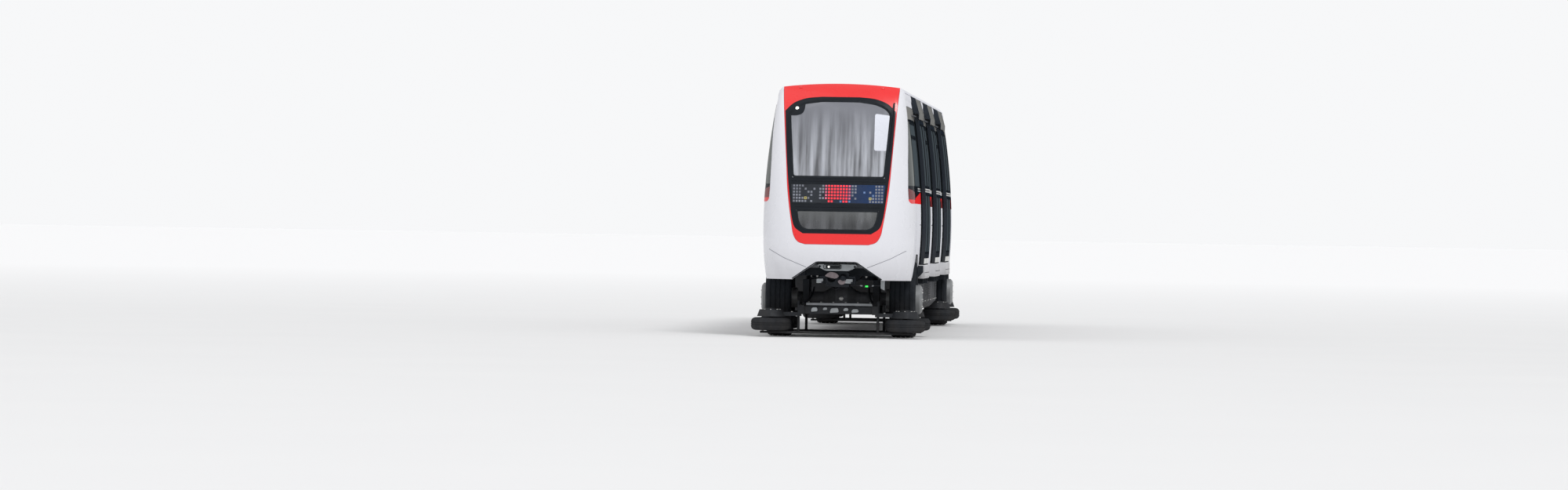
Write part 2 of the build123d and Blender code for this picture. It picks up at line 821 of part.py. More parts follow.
for end, axle_x in axle_xs.items():
    with BuildPart() as guide_frame:
        for side in sides.values():
            block(
                (axle_x - long_beam_half, axle_x + long_beam_half),
                side_span(side, long_beam_y - long_beam_wide / 2, long_beam_y + long_beam_wide / 2),
                long_beam_z,
            )
            for ahead in (1, -1):
                wheel_x = axle_x + ahead * guide_reach
                block(
                    (wheel_x - arm_wide / 2, wheel_x + arm_wide / 2),
                    side_span(side, long_beam_y, guide_y),
                    arm_z,
                )
                with BuildSketch(Plane.XY.offset(cap_z[0])) as cap:
                    with Locations((wheel_x, side * guide_y)):
                        Circle(cap_low_radius)
                cap_taper = 19
                extrude(cap.sketch, amount=cap_z[1] - cap_z[0], taper=cap_taper)
                with BuildSketch(Plane.XY.offset(plate_z[0])) as pin:
                    with Locations((wheel_x, side * guide_y)):
                        Circle(guide_pin)
                extrude(pin.sketch, amount=cap_z[0] - plate_z[0] + 5)
                rod_x = wheel_x
                with BuildSketch(Plane.XY.offset(plate_z[0])) as rod:
                    with Locations((rod_x, side * (long_beam_y + 36))):
                        Circle(18)
                extrude(rod.sketch, amount=476 - plate_z[0])
            for ahead in (1, -1):
                block(
                    sorted((axle_x + ahead * 130, axle_x + ahead * 260)),
                    side_span(side, long_beam_y - 60, long_beam_y + 20),
                    (long_beam_z[1] - 5, slew_z + 2),
                )
        for ahead in (1, -1):
            beam_x = axle_x + ahead * cross_beam_x
            block((beam_x - 40, beam_x + 40), (-long_beam_y, long_beam_y), cross_beam_z)
            wheel_x = axle_x + ahead * guide_reach
            block((wheel_x - 70, wheel_x + 70), (-plate_half, plate_half), plate_z)
            block((wheel_x - 40, wheel_x + 40), (-long_beam_y, long_beam_y), (305, 400))
        with BuildSketch(Plane.XY.offset(slew_z)) as ring:
            with Locations((axle_x, 0)):
                Circle(slew_outer)
                Circle(slew_inner, mode=Mode.SUBTRACT)
        extrude(ring.sketch, amount=slew_high)
    finish(guide_frame.part, f"{end}_guide_frame")

    with BuildPart() as axle:
        with BuildSketch(Plane.YZ.offset(axle_x)):
            with BuildLine():
                half = [(y, axle_z + radius) for y, radius in axle_rows]
                Polyline((-spindle_y, axle_z), *[(-y, z) for y, z in reversed(half)], *half, (spindle_y, axle_z), close=True)
            make_face()
        revolve(axis=Axis((axle_x, 0, axle_z), (0, 1, 0)))
        for side in sides.values():
            block(
                (axle_x - 90, axle_x + 90),
                side_span(side, long_beam_y - 38, long_beam_y + 38),
                (long_beam_z[1], axle_z),
            )
    finish(axle.part, f"{end}_axle")

    for name, side in sides.items():
        wheel_plane = Plane(origin=(axle_x, side * tyre_y, axle_z), x_dir=(1, 0, 0), z_dir=(0, side, 0))
        half_wide = tyre_wide / 2
        with BuildPart() as tyre:
            with BuildSketch(Plane.YZ.offset(axle_x)):
                with BuildLine():
                    low = side * tyre_y - half_wide
                    high = side * tyre_y + half_wide
                    Polyline(
                        (low + 45, axle_z + rim_radius),
                        (low, axle_z + rim_radius + 70),
                        (low, axle_z + tyre_radius - tyre_shoulder),
                        (low + tyre_shoulder * 0.35, axle_z + tyre_radius - tyre_shoulder * 0.25),
                        (low + tyre_shoulder, axle_z + tyre_radius),
                        (high - tyre_shoulder, axle_z + tyre_radius),
                        (high - tyre_shoulder * 0.35, axle_z + tyre_radius - tyre_shoulder * 0.25),
                        (high, axle_z + tyre_radius - tyre_shoulder),
                        (high, axle_z + rim_radius + 70),
                        (high - 45, axle_z + rim_radius),
                        close=True,
                    )
                make_face()
            revolve(axis=Axis((axle_x, 0, axle_z), (0, 1, 0)))
        finish(tyre.part, f"{end}_{name}_tyre")

        with BuildPart() as wheel:
            with BuildSketch(Plane.YZ.offset(axle_x)):
                with BuildLine():
                    bore = spindle_radius + seat_gap
                    rim_low = rim_radius - rim_thick
                    rim_half = half_wide - bead_wide
                    wheel_rows = [
                        (tyre_y - rim_half, rim_radius - seat_gap),
                        (tyre_y + rim_half, rim_radius - seat_gap),
                        (tyre_y + rim_half, rim_low),
                        (tyre_y + disc_out, rim_low),
                        (tyre_y + disc_out, casing_radius),
                        (tyre_y + casing_out - 25, casing_radius),
                        (tyre_y + casing_out, casing_radius - 30),
                        (tyre_y + casing_out, 0),
                        (spindle_y + 6, 0),
                        (spindle_y + 6, bore),
                        (hub_face_y + 1, bore),
                        (hub_face_y + 1, 130),
                        (tyre_y + 20, 130),
                        (tyre_y + 20, rim_low),
                        (tyre_y - rim_half, rim_low),
                    ]
                    Polyline(
                        *[(side * y, axle_z + radius) for y, radius in wheel_rows],
                        close=True,
                    )
                make_face()
            revolve(axis=Axis((axle_x, 0, axle_z), (0, 1, 0)))
        finish(wheel.part, f"{end}_{name}_wheel")

        for way_name, ahead in (("front", 1), ("rear", -1)):
            centre = (axle_x + ahead * guide_reach, side * guide_y)
            with BuildPart() as guide_wheel:
                with BuildSketch(Plane.XZ.offset(-centre[1])):
                    with BuildLine():
                        edge_x = centre[0] + guide_radius
                        Polyline(
                            (centre[0] + guide_pin + seat_gap, guide_low_z + 15),
                            (centre[0] + guide_hub, guide_low_z + 15),
                            (edge_x - 50, guide_low_z),
                            (edge_x - 12, guide_low_z + 22),
                            (edge_x, guide_low_z + 60),
                            (edge_x, guide_high_z - 60),
                            (edge_x - 12, guide_high_z - 22),
                            (edge_x - 50, guide_high_z),
                            (centre[0] + guide_hub, guide_high_z - 15),
                            (centre[0] + guide_pin + seat_gap, guide_high_z - 15),
                            close=True,
                        )
                    make_face()
                revolve(axis=Axis((centre[0], centre[1], 0), (0, 0, 1)))
            finish(guide_wheel.part, f"{end}_{name}_guide_wheel_{way_name}")
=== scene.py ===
"""Looks of a driverless metro car on rubber tyres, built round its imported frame."""

import math
import random

import bmesh
import bpy
from bpy.props import FloatProperty, FloatVectorProperty, IntProperty, PointerProperty
from mathutils import Matrix, Vector
from mathutils.bvhtree import BVHTree


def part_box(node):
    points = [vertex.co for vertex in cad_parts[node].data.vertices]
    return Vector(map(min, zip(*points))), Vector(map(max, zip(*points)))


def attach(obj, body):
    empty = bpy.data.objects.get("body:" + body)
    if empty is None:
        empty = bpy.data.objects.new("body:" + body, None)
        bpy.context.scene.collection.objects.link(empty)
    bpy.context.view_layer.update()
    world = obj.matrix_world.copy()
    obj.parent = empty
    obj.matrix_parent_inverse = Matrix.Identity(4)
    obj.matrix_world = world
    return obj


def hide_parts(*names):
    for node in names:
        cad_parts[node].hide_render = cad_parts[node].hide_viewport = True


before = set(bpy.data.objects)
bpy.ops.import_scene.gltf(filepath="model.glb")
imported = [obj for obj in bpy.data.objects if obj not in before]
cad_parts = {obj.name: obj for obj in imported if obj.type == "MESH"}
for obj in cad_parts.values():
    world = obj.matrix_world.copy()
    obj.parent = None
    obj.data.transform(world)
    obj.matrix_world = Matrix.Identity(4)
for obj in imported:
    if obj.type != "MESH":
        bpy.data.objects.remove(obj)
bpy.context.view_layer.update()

bl_info = {
    "name": "Metro car",
    "version": (1, 0, 0),
    "blender": (4, 5, 0),
    "location": "3D View > Sidebar > Metro car",
    "description": "Dresses the frame of a metro car with its finishes and fine pieces",
    "category": "Object",
}

SIDES = {"left": 1, "right": -1}
WAYS = {"front": 1, "rear": -1}
ENDS = ("front", "rear")
DOORS = (1, 2, 3)

# Camera, fitted to the photograph's frame of 2000 by 625 pixels
PHOTO_WIDE = 2000
PHOTO_FOCAL = 7076.3
CAMERA_PLACE = (77.7423, 4.2217, 1.3978)
CAMERA_YAW = -0.0687
CAMERA_PITCH = -0.0029
CAMERA_ROLL = 0.0164

# Heights and depths that the frame's pieces share, in metres
NOSE_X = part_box("nose_mask")[1].x
MASK_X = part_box("nose_mask")[0].x
REAR_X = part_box("rear_wall")[0].x
WALL_THICK = 0.06
SILL_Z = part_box("side_wall_left")[0].z
FLOOR_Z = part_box("floor")[1].z
WINDOW_LOW = 1.96
WINDOW_HIGH = 2.835
WINDOW_MARGIN = 0.07
HOPPER_Z = 2.612
LEAF_LOW = 0.957
LEAF_HIGH = 2.87
LEAF_FRAME = 0.055
LEAF_BELT = (1.885, 1.985)
LEAF_KICK = 0.15
LEAF_IN = 0.015
LEAF_OUT = 0.065
PORTAL = 1.46
APERTURE = 1.3
LAP = (PORTAL - APERTURE) / 2
BELT_Z = 1.944
BAND_LOW = 1.735
BAND_HIGH = 1.872
BAND_FRONT_Z = 1.804
FRONT_SEAM_X = 5.62
CANT_LOW = 2.842
CANT_HIGH = 3.01
AXLE_Y = 0.810
BOX_FACE_Y = 0.86

# Films start this far inside the surface that carries them
SUNK = -0.001

# Front outlines seen from ahead, right half: half width and height
SURROUND = [
    (0.410, 1.206), (0.505, 1.240), (0.560, 1.320), (0.592, 1.470),
    (0.655, 1.905), (0.684, 2.300), (0.752, 3.205), (0.753, 3.222),
]
BLACK_FRAME = [
    (0.440, 1.345), (0.545, 1.420), (0.585, 1.530), (0.634, 1.890), (0.674, 2.290),
    (0.716, 2.930), (0.610, 3.030), (0.455, 3.092), (0.240, 3.116),
]
UPPER_GLASS = [
    (0.598, 2.066), (0.640, 2.590), (0.662, 2.905), (0.585, 2.985), (0.455, 3.040), (0.240, 3.070),
]
LOWER_GLASS = [(0.400, 1.385), (0.480, 1.430), (0.515, 1.515), (0.536, 1.648)]
DISPLAY = [(0.596, 1.730), (0.622, 1.993)]
APRON_SEAM = [(0.885, 1.138), (0.685, 1.030), (0.392, 0.911)]
COUPLER_EDGE = [(0.579, 0.763), (0.269, 0.974), (0.236, 0.982)]
CORNER_TAB = [
    (-0.665, 2.868), (-0.560, 2.868), (-0.490, 2.892), (-0.462, 2.950),
    (-0.455, 3.040), (-0.585, 2.985), (-0.664, 2.905),
]
NOTICE = [(0.449, 2.424), (0.618, 2.424), (0.648, 2.880), (0.449, 2.905)]

# Edge of the side's glazing on the mask: height and place along the car
FLANK = [
    (1.750, 6.170), (1.760, 6.210), (1.790, 6.234), (1.930, 6.226), (2.298, 6.166),
    (2.560, 6.105), (2.784, 6.044), (2.842, 6.028), (3.010, 5.985),
]

# Header over a door: its section on the left, half width and height
HEADER = [(0.928, 2.885), (0.928, 2.962), (0.872, 3.152), (0.812, 3.178)]

# Equipment boxes: distance of the front face behind the nose, and length
BOXES = ((2.95, 1.75), (4.88, 2.40), (7.46, 1.50), (9.14, 1.15))

# Seats: distance behind the nose of the backrest, side, way that the sitter faces
SEAT_ROWS = (
    (0.76, -1), (2.00, 1), (4.56, -1), (5.88, 1), (8.10, -1), (9.40, 1), (11.08, -1), (12.40, 1),
)
SEATS = [(back, side, way) for back, way in SEAT_ROWS for side in SIDES.values()]
SEAT_HIGH = 0.44
SEAT_WIDE = 0.44
SEAT_WALL_Y = 0.86

# Half length and top of the wheel houses that some seats stand on
HOUSE_HALF = 0.625
HOUSE_TOP_Z = 1.083


def door_x(number):
    """Middle of a doorway along the car."""
    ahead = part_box(f"door_{number}_left_front_leaf")
    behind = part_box(f"door_{number}_left_rear_leaf")
    return (ahead[0].x + behind[1].x) / 2


DOOR_XS = [door_x(number) for number in DOORS]
AXLE_XS = {end: sum(c.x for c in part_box(f"{end}_left_tyre")) / 2 for end in ENDS}


# Places on the frame's surfaces


def mesh_tree(names):
    """A tree for casting rays at some of the frame's nodes."""
    points, faces = [], []
    for name in names:
        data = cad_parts[name].data
        first = len(points)
        points += [vertex.co.copy() for vertex in data.vertices]
        faces += [[first + index for index in face.vertices] for face in data.polygons]
    return BVHTree.FromPolygons(points, faces)


def cast(tree, start, way):
    """Where a ray meets a tree, and the surface's normal on the ray's side."""
    point, normal, _, _ = tree.ray_cast(Vector(start), Vector(way))
    if point is None:
        raise RuntimeError(f"the frame has no surface from {start} along {way}")
    return point, -normal if normal.dot(Vector(way)) > 0 else normal


NOSE_TREE = mesh_tree([
    "nose_mask", "nose_surround", "windscreen_frame", "windscreen_upper", "windscreen_lower", "display_panel",
])
SECTION_TREE = mesh_tree(["rear_wall"])
BESIDE = 3
SECTION_STEP = 0.02
SECTION_FIRST = 40
SECTION_LAST = 162


def wall_y(z):
    """Half width of the body's outside at a height."""
    return cast(SECTION_TREE, (REAR_X + WALL_THICK / 2, BESIDE, z), (0, -1, 0))[0].y


SECTION = {index: wall_y(index * SECTION_STEP) for index in range(SECTION_FIRST, SECTION_LAST + 1)}


def side_y(z):
    """Half width at a height, read between two samples."""
    at = min(max(z / SECTION_STEP, SECTION_FIRST), SECTION_LAST - 0.001)
    low = int(at)
    return SECTION[low] + (SECTION[low + 1] - SECTION[low]) * (at - low)


def on_side(side):
    """A way to place points on a side wall: along, height and distance outwards."""
    return lambda x, z, out: Vector((x, side * (side_y(z) + out), z))


def on_flank(side):
    """A way to place points on a side wall and, ahead of it, on the mask's side."""
    wall = on_side(side)

    def place(x, z, out):
        if x <= MASK_X:
            return wall(x, z, out)
        point, normal = cast(NOSE_TREE, (x, side * BESIDE, z), (0, -side, 0))
        return point + normal * out
    return place


def on_nose(y, z, out):
    """A point on the nose, seen from ahead, moved outwards."""
    point, normal = cast(NOSE_TREE, (NOSE_X + 1, y, z), (-1, 0, 0))
    return point + normal * out


def in_space(x, z, y):
    """A point given along, by height and across."""
    return Vector((x, y, z))


def ahead_of(x, way=1):
    """A way to place points before or, where the way is -1, behind an upright plane across the car."""
    return lambda y, z, out: Vector((x + way * out, y, z))


def flank_x(z):
    """How far forward the side's glazing reaches on the mask at a height."""
    z = min(max(z, FLANK[0][0]), FLANK[-1][0])
    for (z0, x0), (z1, x1) in zip(FLANK, FLANK[1:]):
        if z <= z1:
            return x0 + (x1 - x0) * (z - z0) / (z1 - z0)
    return FLANK[-1][1]


# Outlines and rows of numbers


def spaced(low, high, count):
    """Even steps from one number to another, both counted in."""
    return [low + (high - low) * i / count for i in range(count + 1)]


def cuts(*values, step=0.12):
    """Sorted cuts through some values, with the long gaps between them divided."""
    values = sorted(set(values))
    out = [values[0]]
    for low, high in zip(values, values[1:]):
        out += spaced(low, high, max(1, math.ceil((high - low) / step)))[1:]
    return out


def rect(u0, u1, v0, v1):
    """The corners of an upright rectangle, anticlockwise from the low first one."""
    return [(u0, v0), (u1, v0), (u1, v1), (u0, v1)]


def both_halves(half):
    """A whole front outline from its right half."""
    return list(half) + [(-y, z) for y, z in reversed(half)]


def rounded(corners, radius, steps=5):
    """An outline with its corners rounded by short arcs."""
    out = []
    for i, corner in enumerate(corners):
        here = Vector(corner)
        before = Vector(corners[i - 1]) - here
        after = Vector(corners[(i + 1) % len(corners)]) - here
        reach = min(radius, before.length * 0.49, after.length * 0.49)
        start = here + before.normalized() * reach
        stop = here + after.normalized() * reach
        for t in spaced(0, 1, steps):
            out.append(tuple(start * (1 - t) ** 2 + here * 2 * t * (1 - t) + stop * t ** 2))
    return out


def moved_out(points, distance):
    """A closed outline moved outwards, or inwards where the distance is negative."""
    count = len(points)
    area = sum(points[i - 1][0] * points[i][1] - points[i][0] * points[i - 1][1] for i in range(count))
    sign = 1 if area > 0 else -1
    out = []
    for i, point in enumerate(points):
        before = (Vector(point) - Vector(points[i - 1])).normalized()
        after = (Vector(points[(i + 1) % count]) - Vector(point)).normalized()
        normal = Vector((before.y + after.y, -before.x - after.x))
        if normal.length < 1e-9:
            normal = Vector((after.y, -after.x))
        normal.normalize()
        stretch = max(0.5, normal.dot(Vector((after.y, -after.x))))
        out.append(tuple(Vector(point) + normal * sign * distance / stretch))
    return out


def divided(points, step, closed=True):
    """An outline, or an open line, with its long edges divided."""
    out = []
    for start, stop in zip(points, points[1:] + points[:1] if closed else points[1:]):
        count = max(1, math.ceil((Vector(stop) - Vector(start)).length / step))
        out += [tuple(Vector(start).lerp(Vector(stop), k / count)) for k in range(count)]
    return out if closed else out + [points[-1]]


def smooth_line(points, steps=8):
    """Points of a smooth curve through some points, in one list for each gap."""
    points = [Vector(point) for point in points]
    ends = [points[0] * 2 - points[1], *points, points[-1] * 2 - points[-2]]
    gaps = []
    for before, start, stop, after in zip(ends, ends[1:], ends[2:], ends[3:]):
        t0, t1 = 0.0, max((start - before).length, 1e-6) ** 0.5
        t2 = t1 + (stop - start).length ** 0.5
        t3 = t2 + max((after - stop).length, 1e-6) ** 0.5
        line = []
        for t in spaced(t1, t2, steps):
            a = before.lerp(start, (t - t0) / (t1 - t0))
            b = start.lerp(stop, (t - t1) / (t2 - t1))
            c = stop.lerp(after, (t - t2) / (t3 - t2))
            early, late = a.lerp(b, (t - t0) / (t2 - t0)), b.lerp(c, (t - t1) / (t3 - t1))
            line.append(early.lerp(late, (t - t1) / (t2 - t1)))
        gaps.append(line)
    return gaps


def circle_places(centre, axis, radius, count):
    """Places evenly round a circle about an axis."""
    places = []
    for k in range(count):
        angle = 2 * math.pi * k / count
        places.append(Vector(centre) + turned(axis, 0, radius * math.cos(angle), radius * math.sin(angle)))
    return places


def turned(axis, along, a, b):
    """An offset along an axis and across it."""
    return Vector({"X": (along, a, b), "Y": (a, along, b), "Z": (a, b, along)}[axis])


# Mesh making


def grid(mesh, rows, around=True, along=False, ends=True):
    """Join rows of points by quads, around each row and along the rows."""
    verts = [[mesh.verts.new(point) for point in row] for row in rows]
    count, width = len(verts), len(verts[0])
    for i in range(count if along else count - 1):
        after = verts[(i + 1) % count]
        for j in range(width if around else width - 1):
            k = (j + 1) % width
            mesh.faces.new((verts[i][j], verts[i][k], after[k], after[j]))
    if ends and around and not along:
        mesh.faces.new(verts[0])
        mesh.faces.new(verts[-1])


def hoop(place, first, second, low, high, first_high=None):
    """Four points round the section of a strip between two places on a surface."""
    top = high if first_high is None else first_high
    return [place(*first, low), place(*first, top), place(*second, high), place(*second, low)]


def band(mesh, place, outline, out_edge, in_edge, low, high):
    """A closed band along an outline, between two distances from it."""
    pairs = zip(moved_out(outline, out_edge), moved_out(outline, in_edge))
    grid(mesh, [hoop(place, outer, inner, low, high) for outer, inner in pairs], along=True)


def front_band(mesh, half, out_edge, in_edge, low, high, corner):
    """A band along a front outline, on the nose's surface."""
    outline = divided(rounded(both_halves(half), corner), 0.05)
    band(mesh, on_nose, outline, out_edge, in_edge, low, high)


def slab(mesh, place, corners, low, high, cells=1, across=1):
    """A plate between four corners, given anticlockwise from the low first one."""
    a, b, c, d = (Vector(corner) for corner in corners)
    rows = []
    for t in spaced(0, 1, cells):
        start, stop = a.lerp(d, t), b.lerp(c, t)
        line = [start.lerp(stop, s) for s in spaced(0, 1, across)]
        rows.append([place(*at, low) for at in line] + [place(*at, high) for at in reversed(line)])
    grid(mesh, rows)


def span_slab(mesh, place, u_span, v_span, low, high, cells=1, across=1):
    """A plate over a span each way."""
    slab(mesh, place, rect(*sorted(u_span), *sorted(v_span)), low, high, cells, across)


def box_mesh(mesh, x_span, y_span, z_span):
    """A box over three spans."""
    span_slab(mesh, in_space, x_span, z_span, min(y_span), max(y_span))


def patch(mesh, place, outline, low, high, steps=6):
    """A plate inside an outline that follows a curved surface."""
    core = 0.02
    outline = [Vector(point) for point in outline]
    middle = sum(outline, Vector((0, 0))) / len(outline)
    rows = [[place(*point, low) for point in outline]]
    for share in [1 - k / steps for k in range(steps)] + [core]:
        rows.append([place(*middle.lerp(point, max(share, core)), high) for point in outline])
    grid(mesh, rows)


def pierced(mesh, place, us, vs, holes, low, high):
    """A plate over a grid of cuts, open in the cells that are holes."""
    solid = {(i, j) for i in range(len(us) - 1) for j in range(len(vs) - 1) if (i, j) not in holes}
    verts = {}

    def vert(i, j, out):
        if (i, j, out) not in verts:
            verts[i, j, out] = mesh.verts.new(place(us[i], vs[j], out))
        return verts[i, j, out]

    for i, j in sorted(solid):
        corners = [(i, j), (i + 1, j), (i + 1, j + 1), (i, j + 1)]
        for out in (low, high):
            mesh.faces.new([vert(*corner, out) for corner in corners])
        besides = [(i, j - 1), (i + 1, j), (i, j + 1), (i - 1, j)]
        for beside, start, stop in zip(besides, corners, corners[1:] + corners[:1]):
            if beside not in solid:
                mesh.faces.new((vert(*start, low), vert(*stop, low), vert(*stop, high), vert(*start, high)))


def cells_in(us, vs, u_span, v_span):
    """Cells of a grid of cuts that lie in two spans."""
    slack = 1e-6

    def inside(values, span):
        pairs = enumerate(zip(values, values[1:]))
        return [i for i, (low, high) in pairs if low >= span[0] - slack and high <= span[1] + slack]

    return {(i, j) for i in inside(us, u_span) for j in inside(vs, v_span)}


def tube(mesh, points, radius, sides, closed=False):
    """A round tube along some points."""
    points = [Vector(point) for point in points]
    last = len(points) - 1
    rows = []
    normal = None
    for i, point in enumerate(points):
        ahead = points[(i + 1) % len(points)] if closed or i < last else point
        behind = points[i - 1] if closed or i else point
        along = (ahead - behind).normalized()
        if normal is None:
            normal = along.orthogonal().normalized()
        normal = (normal - along * normal.dot(along)).normalized()
        other = along.cross(normal)
        angles = [2 * math.pi * k / sides for k in range(sides)]
        rows.append([point + (normal * math.cos(a) + other * math.sin(a)) * radius for a in angles])
    grid(mesh, rows, along=closed)


def lathe(mesh, rows, centre, axis, segments, closed=True):
    """Turn a profile of places along an axis and radii about that axis."""
    centre = Vector(centre)
    lines = []
    for k in range(segments):
        cos, sin = math.cos(2 * math.pi * k / segments), math.sin(2 * math.pi * k / segments)
        lines.append([centre + turned(axis, along, radius * cos, radius * sin) for along, radius in rows])
    grid(mesh, lines, around=closed, along=True)


def bolts(mesh, places, axis, out, radius, high):
    """Hexagon heads at some places, standing out along an axis."""
    for place in places:
        rows = [
            (0, 0), (0, radius), (out * high * 0.8, radius), (out * high, radius * 0.85), (out * high, 0),
        ]
        lathe(mesh, rows, place, axis, segments=6, closed=False)


def flank_film(mesh, place, start, zs, low, high):
    """A film from a place along the side forward to the edge of the mask's glazing."""
    rows = []
    for z in zs:
        xs = spaced(start(z), flank_x(z), 18)
        rows.append([place(x, z, low) for x in xs] + [place(x, z, high) for x in reversed(xs)])
    grid(mesh, rows)


def edge_film(mesh, points, lap, high):
    """A film on the nose from a panel's straight edges out to a smooth curve, on both sides."""
    centre = Vector((0.0, 2.3))
    pairs = []
    for gap, start, stop in zip(smooth_line(points), points, points[1:]):
        for k, out in enumerate(gap[:-1]):
            pairs.append((Vector(start).lerp(Vector(stop), k / (len(gap) - 1)), out))
    pairs.append((Vector(points[-1]), Vector(points[-1])))
    for side in SIDES.values():
        rows = []
        for flat, out in pairs:
            inner = flat + (centre - flat).normalized() * lap
            first, second = (side * inner.x, inner.y), (side * out.x, out.y)
            rows.append(hoop(on_nose, first, second, SUNK, high, high * 0.6))
        grid(mesh, rows)


def nose_line(mesh, points, wide, low, high):
    """A narrow strip on the nose along an open line."""
    fine = [Vector(point) for point in divided(list(points), 0.025, closed=False)]
    rows = []
    for i, point in enumerate(fine):
        along = fine[min(i + 1, len(fine) - 1)] - fine[max(i - 1, 0)]
        across = Vector((-along.y, along.x)).normalized() * wide / 2
        rows.append(hoop(on_nose, point + across, point - across, low, high))
    grid(mesh, rows)


def pad_edge(centre, u, v, half_u, half_v, a, b):
    """A place on a pad, given by its shares of the half lengths."""
    pull = 0.035
    return centre + u * a * half_u * (1 - pull * (1 - b * b)) + v * b * half_v * (1 - pull * (1 - a * a))


def cushion(mesh, centre, u, v, n, half_u, half_v, thick):
    """A crowned pad whose sides pull in between its corners."""
    swell, back = 0.22, 0.9
    steps = [math.sin(math.pi / 2 * t) for t in spaced(-1, 1, 12)]
    for face in (1, -1):
        rows = []
        for a in steps:
            row = []
            for b in steps:
                crown = ((1 - a ** 6) * (1 - b ** 6)) ** 0.5
                fill = 1 + swell * (1 - a * a) * (1 - b * b) if face > 0 else back
                edge = pad_edge(centre, u, v, half_u, half_v, a, b)
                row.append(edge + n * face * thick / 2 * crown * fill)
            rows.append(row)
        grid(mesh, rows, around=False)


def piece(name, mesh, finish, body, slot, bevel=0.0, angle=38, smooth=True):
    """Make an object of a mesh, finished, and riding on a body."""
    bmesh.ops.remove_doubles(mesh, verts=mesh.verts, dist=1e-5)
    bmesh.ops.recalc_face_normals(mesh, faces=mesh.faces)
    data = bpy.data.meshes.new(name)
    mesh.to_mesh(data)
    mesh.free()
    data.materials.append(finish)
    if smooth:
        data.shade_smooth()
        data.set_sharp_from_angle(angle=math.radians(angle))
    obj = bpy.data.objects.new(name, data)
    bpy.context.scene.collection.objects.link(obj)
    if bevel:
        edge = obj.modifiers.new("edge", "BEVEL")
        edge.width = bevel
        edge.segments = 2
        edge.limit_method = "ANGLE"
        edge.angle_limit = math.radians(angle)
    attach(obj, body)
    return obj


# Finishes


def new_material(name):
    """An empty node material, with its coordinates and its shader."""
    made = bpy.data.materials.new(name)
    made.use_nodes = True
    tree = made.node_tree
    place = tree.nodes.new("ShaderNodeTexCoord")
    return made, tree, place.outputs["Object"], tree.nodes["Principled BSDF"]


def new_node(tree, kind, inputs, **settings):
    """A shader node with its settings, whose inputs take values or links."""
    made = tree.nodes.new(f"ShaderNode{kind}")
    for key, value in settings.items():
        setattr(made, key, value)
    for key, value in inputs.items():
        if isinstance(value, bpy.types.NodeSocket):
            tree.links.new(value, made.inputs[key])
        else:
            made.inputs[key].default_value = value
    return made


def noise(tree, vector, scale, detail=4.0, stretch=(1, 1, 1), offset=(0, 0, 0)):
    """Noise over the object, stretched along the axes."""
    shape = new_node(tree, "Mapping", {"Scale": stretch, "Location": offset, "Vector": vector})
    inputs = {"Scale": scale, "Detail": detail, "Vector": shape.outputs["Vector"]}
    return new_node(tree, "TexNoise", inputs).outputs["Fac"]


def spread(tree, value, low, high, to_low=0.0, to_high=1.0):
    """Map a value from one span to another."""
    inputs = {"From Min": low, "From Max": high, "To Min": to_low, "To Max": to_high, "Value": value}
    return new_node(tree, "MapRange", inputs).outputs["Result"]


def along_axis(tree, place, axis, low, high):
    """How far a place is from one coordinate to another."""
    return spread(tree, new_node(tree, "SeparateXYZ", {"Vector": place}).outputs[axis], low, high)


def blend_colour(tree, factor, first, second):
    """Mix two colours, each a tuple or a socket."""
    mixed = new_node(tree, "Mix", {"Factor": factor}, data_type="RGBA")
    for key, colour in (("A", first), ("B", second)):
        socket = next(s for s in mixed.inputs if s.name == key and s.type == "RGBA")
        if isinstance(colour, bpy.types.NodeSocket):
            tree.links.new(colour, socket)
        else:
            socket.default_value = (*colour, 1)
    return next(s for s in mixed.outputs if s.type == "RGBA")


def shade(colour, amount):
    """A colour made lighter or darker."""
    return tuple(min(1.0, max(0.0, value * (1 + amount))) for value in colour)


def uneven_gloss(tree, shader, field, low, high):
    """Roughness that varies over a surface."""
    tree.links.new(spread(tree, field, 0.3, 0.7, low, high), shader.inputs["Roughness"])


def relief_of(tree, shader, field, strength, deep):
    """Fine relief over a surface."""
    bump = new_node(tree, "Bump", {"Strength": strength, "Distance": deep, "Height": field})
    tree.links.new(bump.outputs["Normal"], shader.inputs["Normal"])


def fade_gloss(tree, shader, near, far, specular, coat):
    """Gloss that fades to nothing at a glance; gives how slanted the view is."""
    facing = new_node(tree, "LayerWeight", {"Blend": 0.5}).outputs["Facing"]
    for key, most in (("Specular IOR Level", specular), ("Coat Weight", coat)):
        tree.links.new(spread(tree, facing, near, far, most, 0.0), shader.inputs[key])
    return facing


DUST = (0.13, 0.11, 0.09)


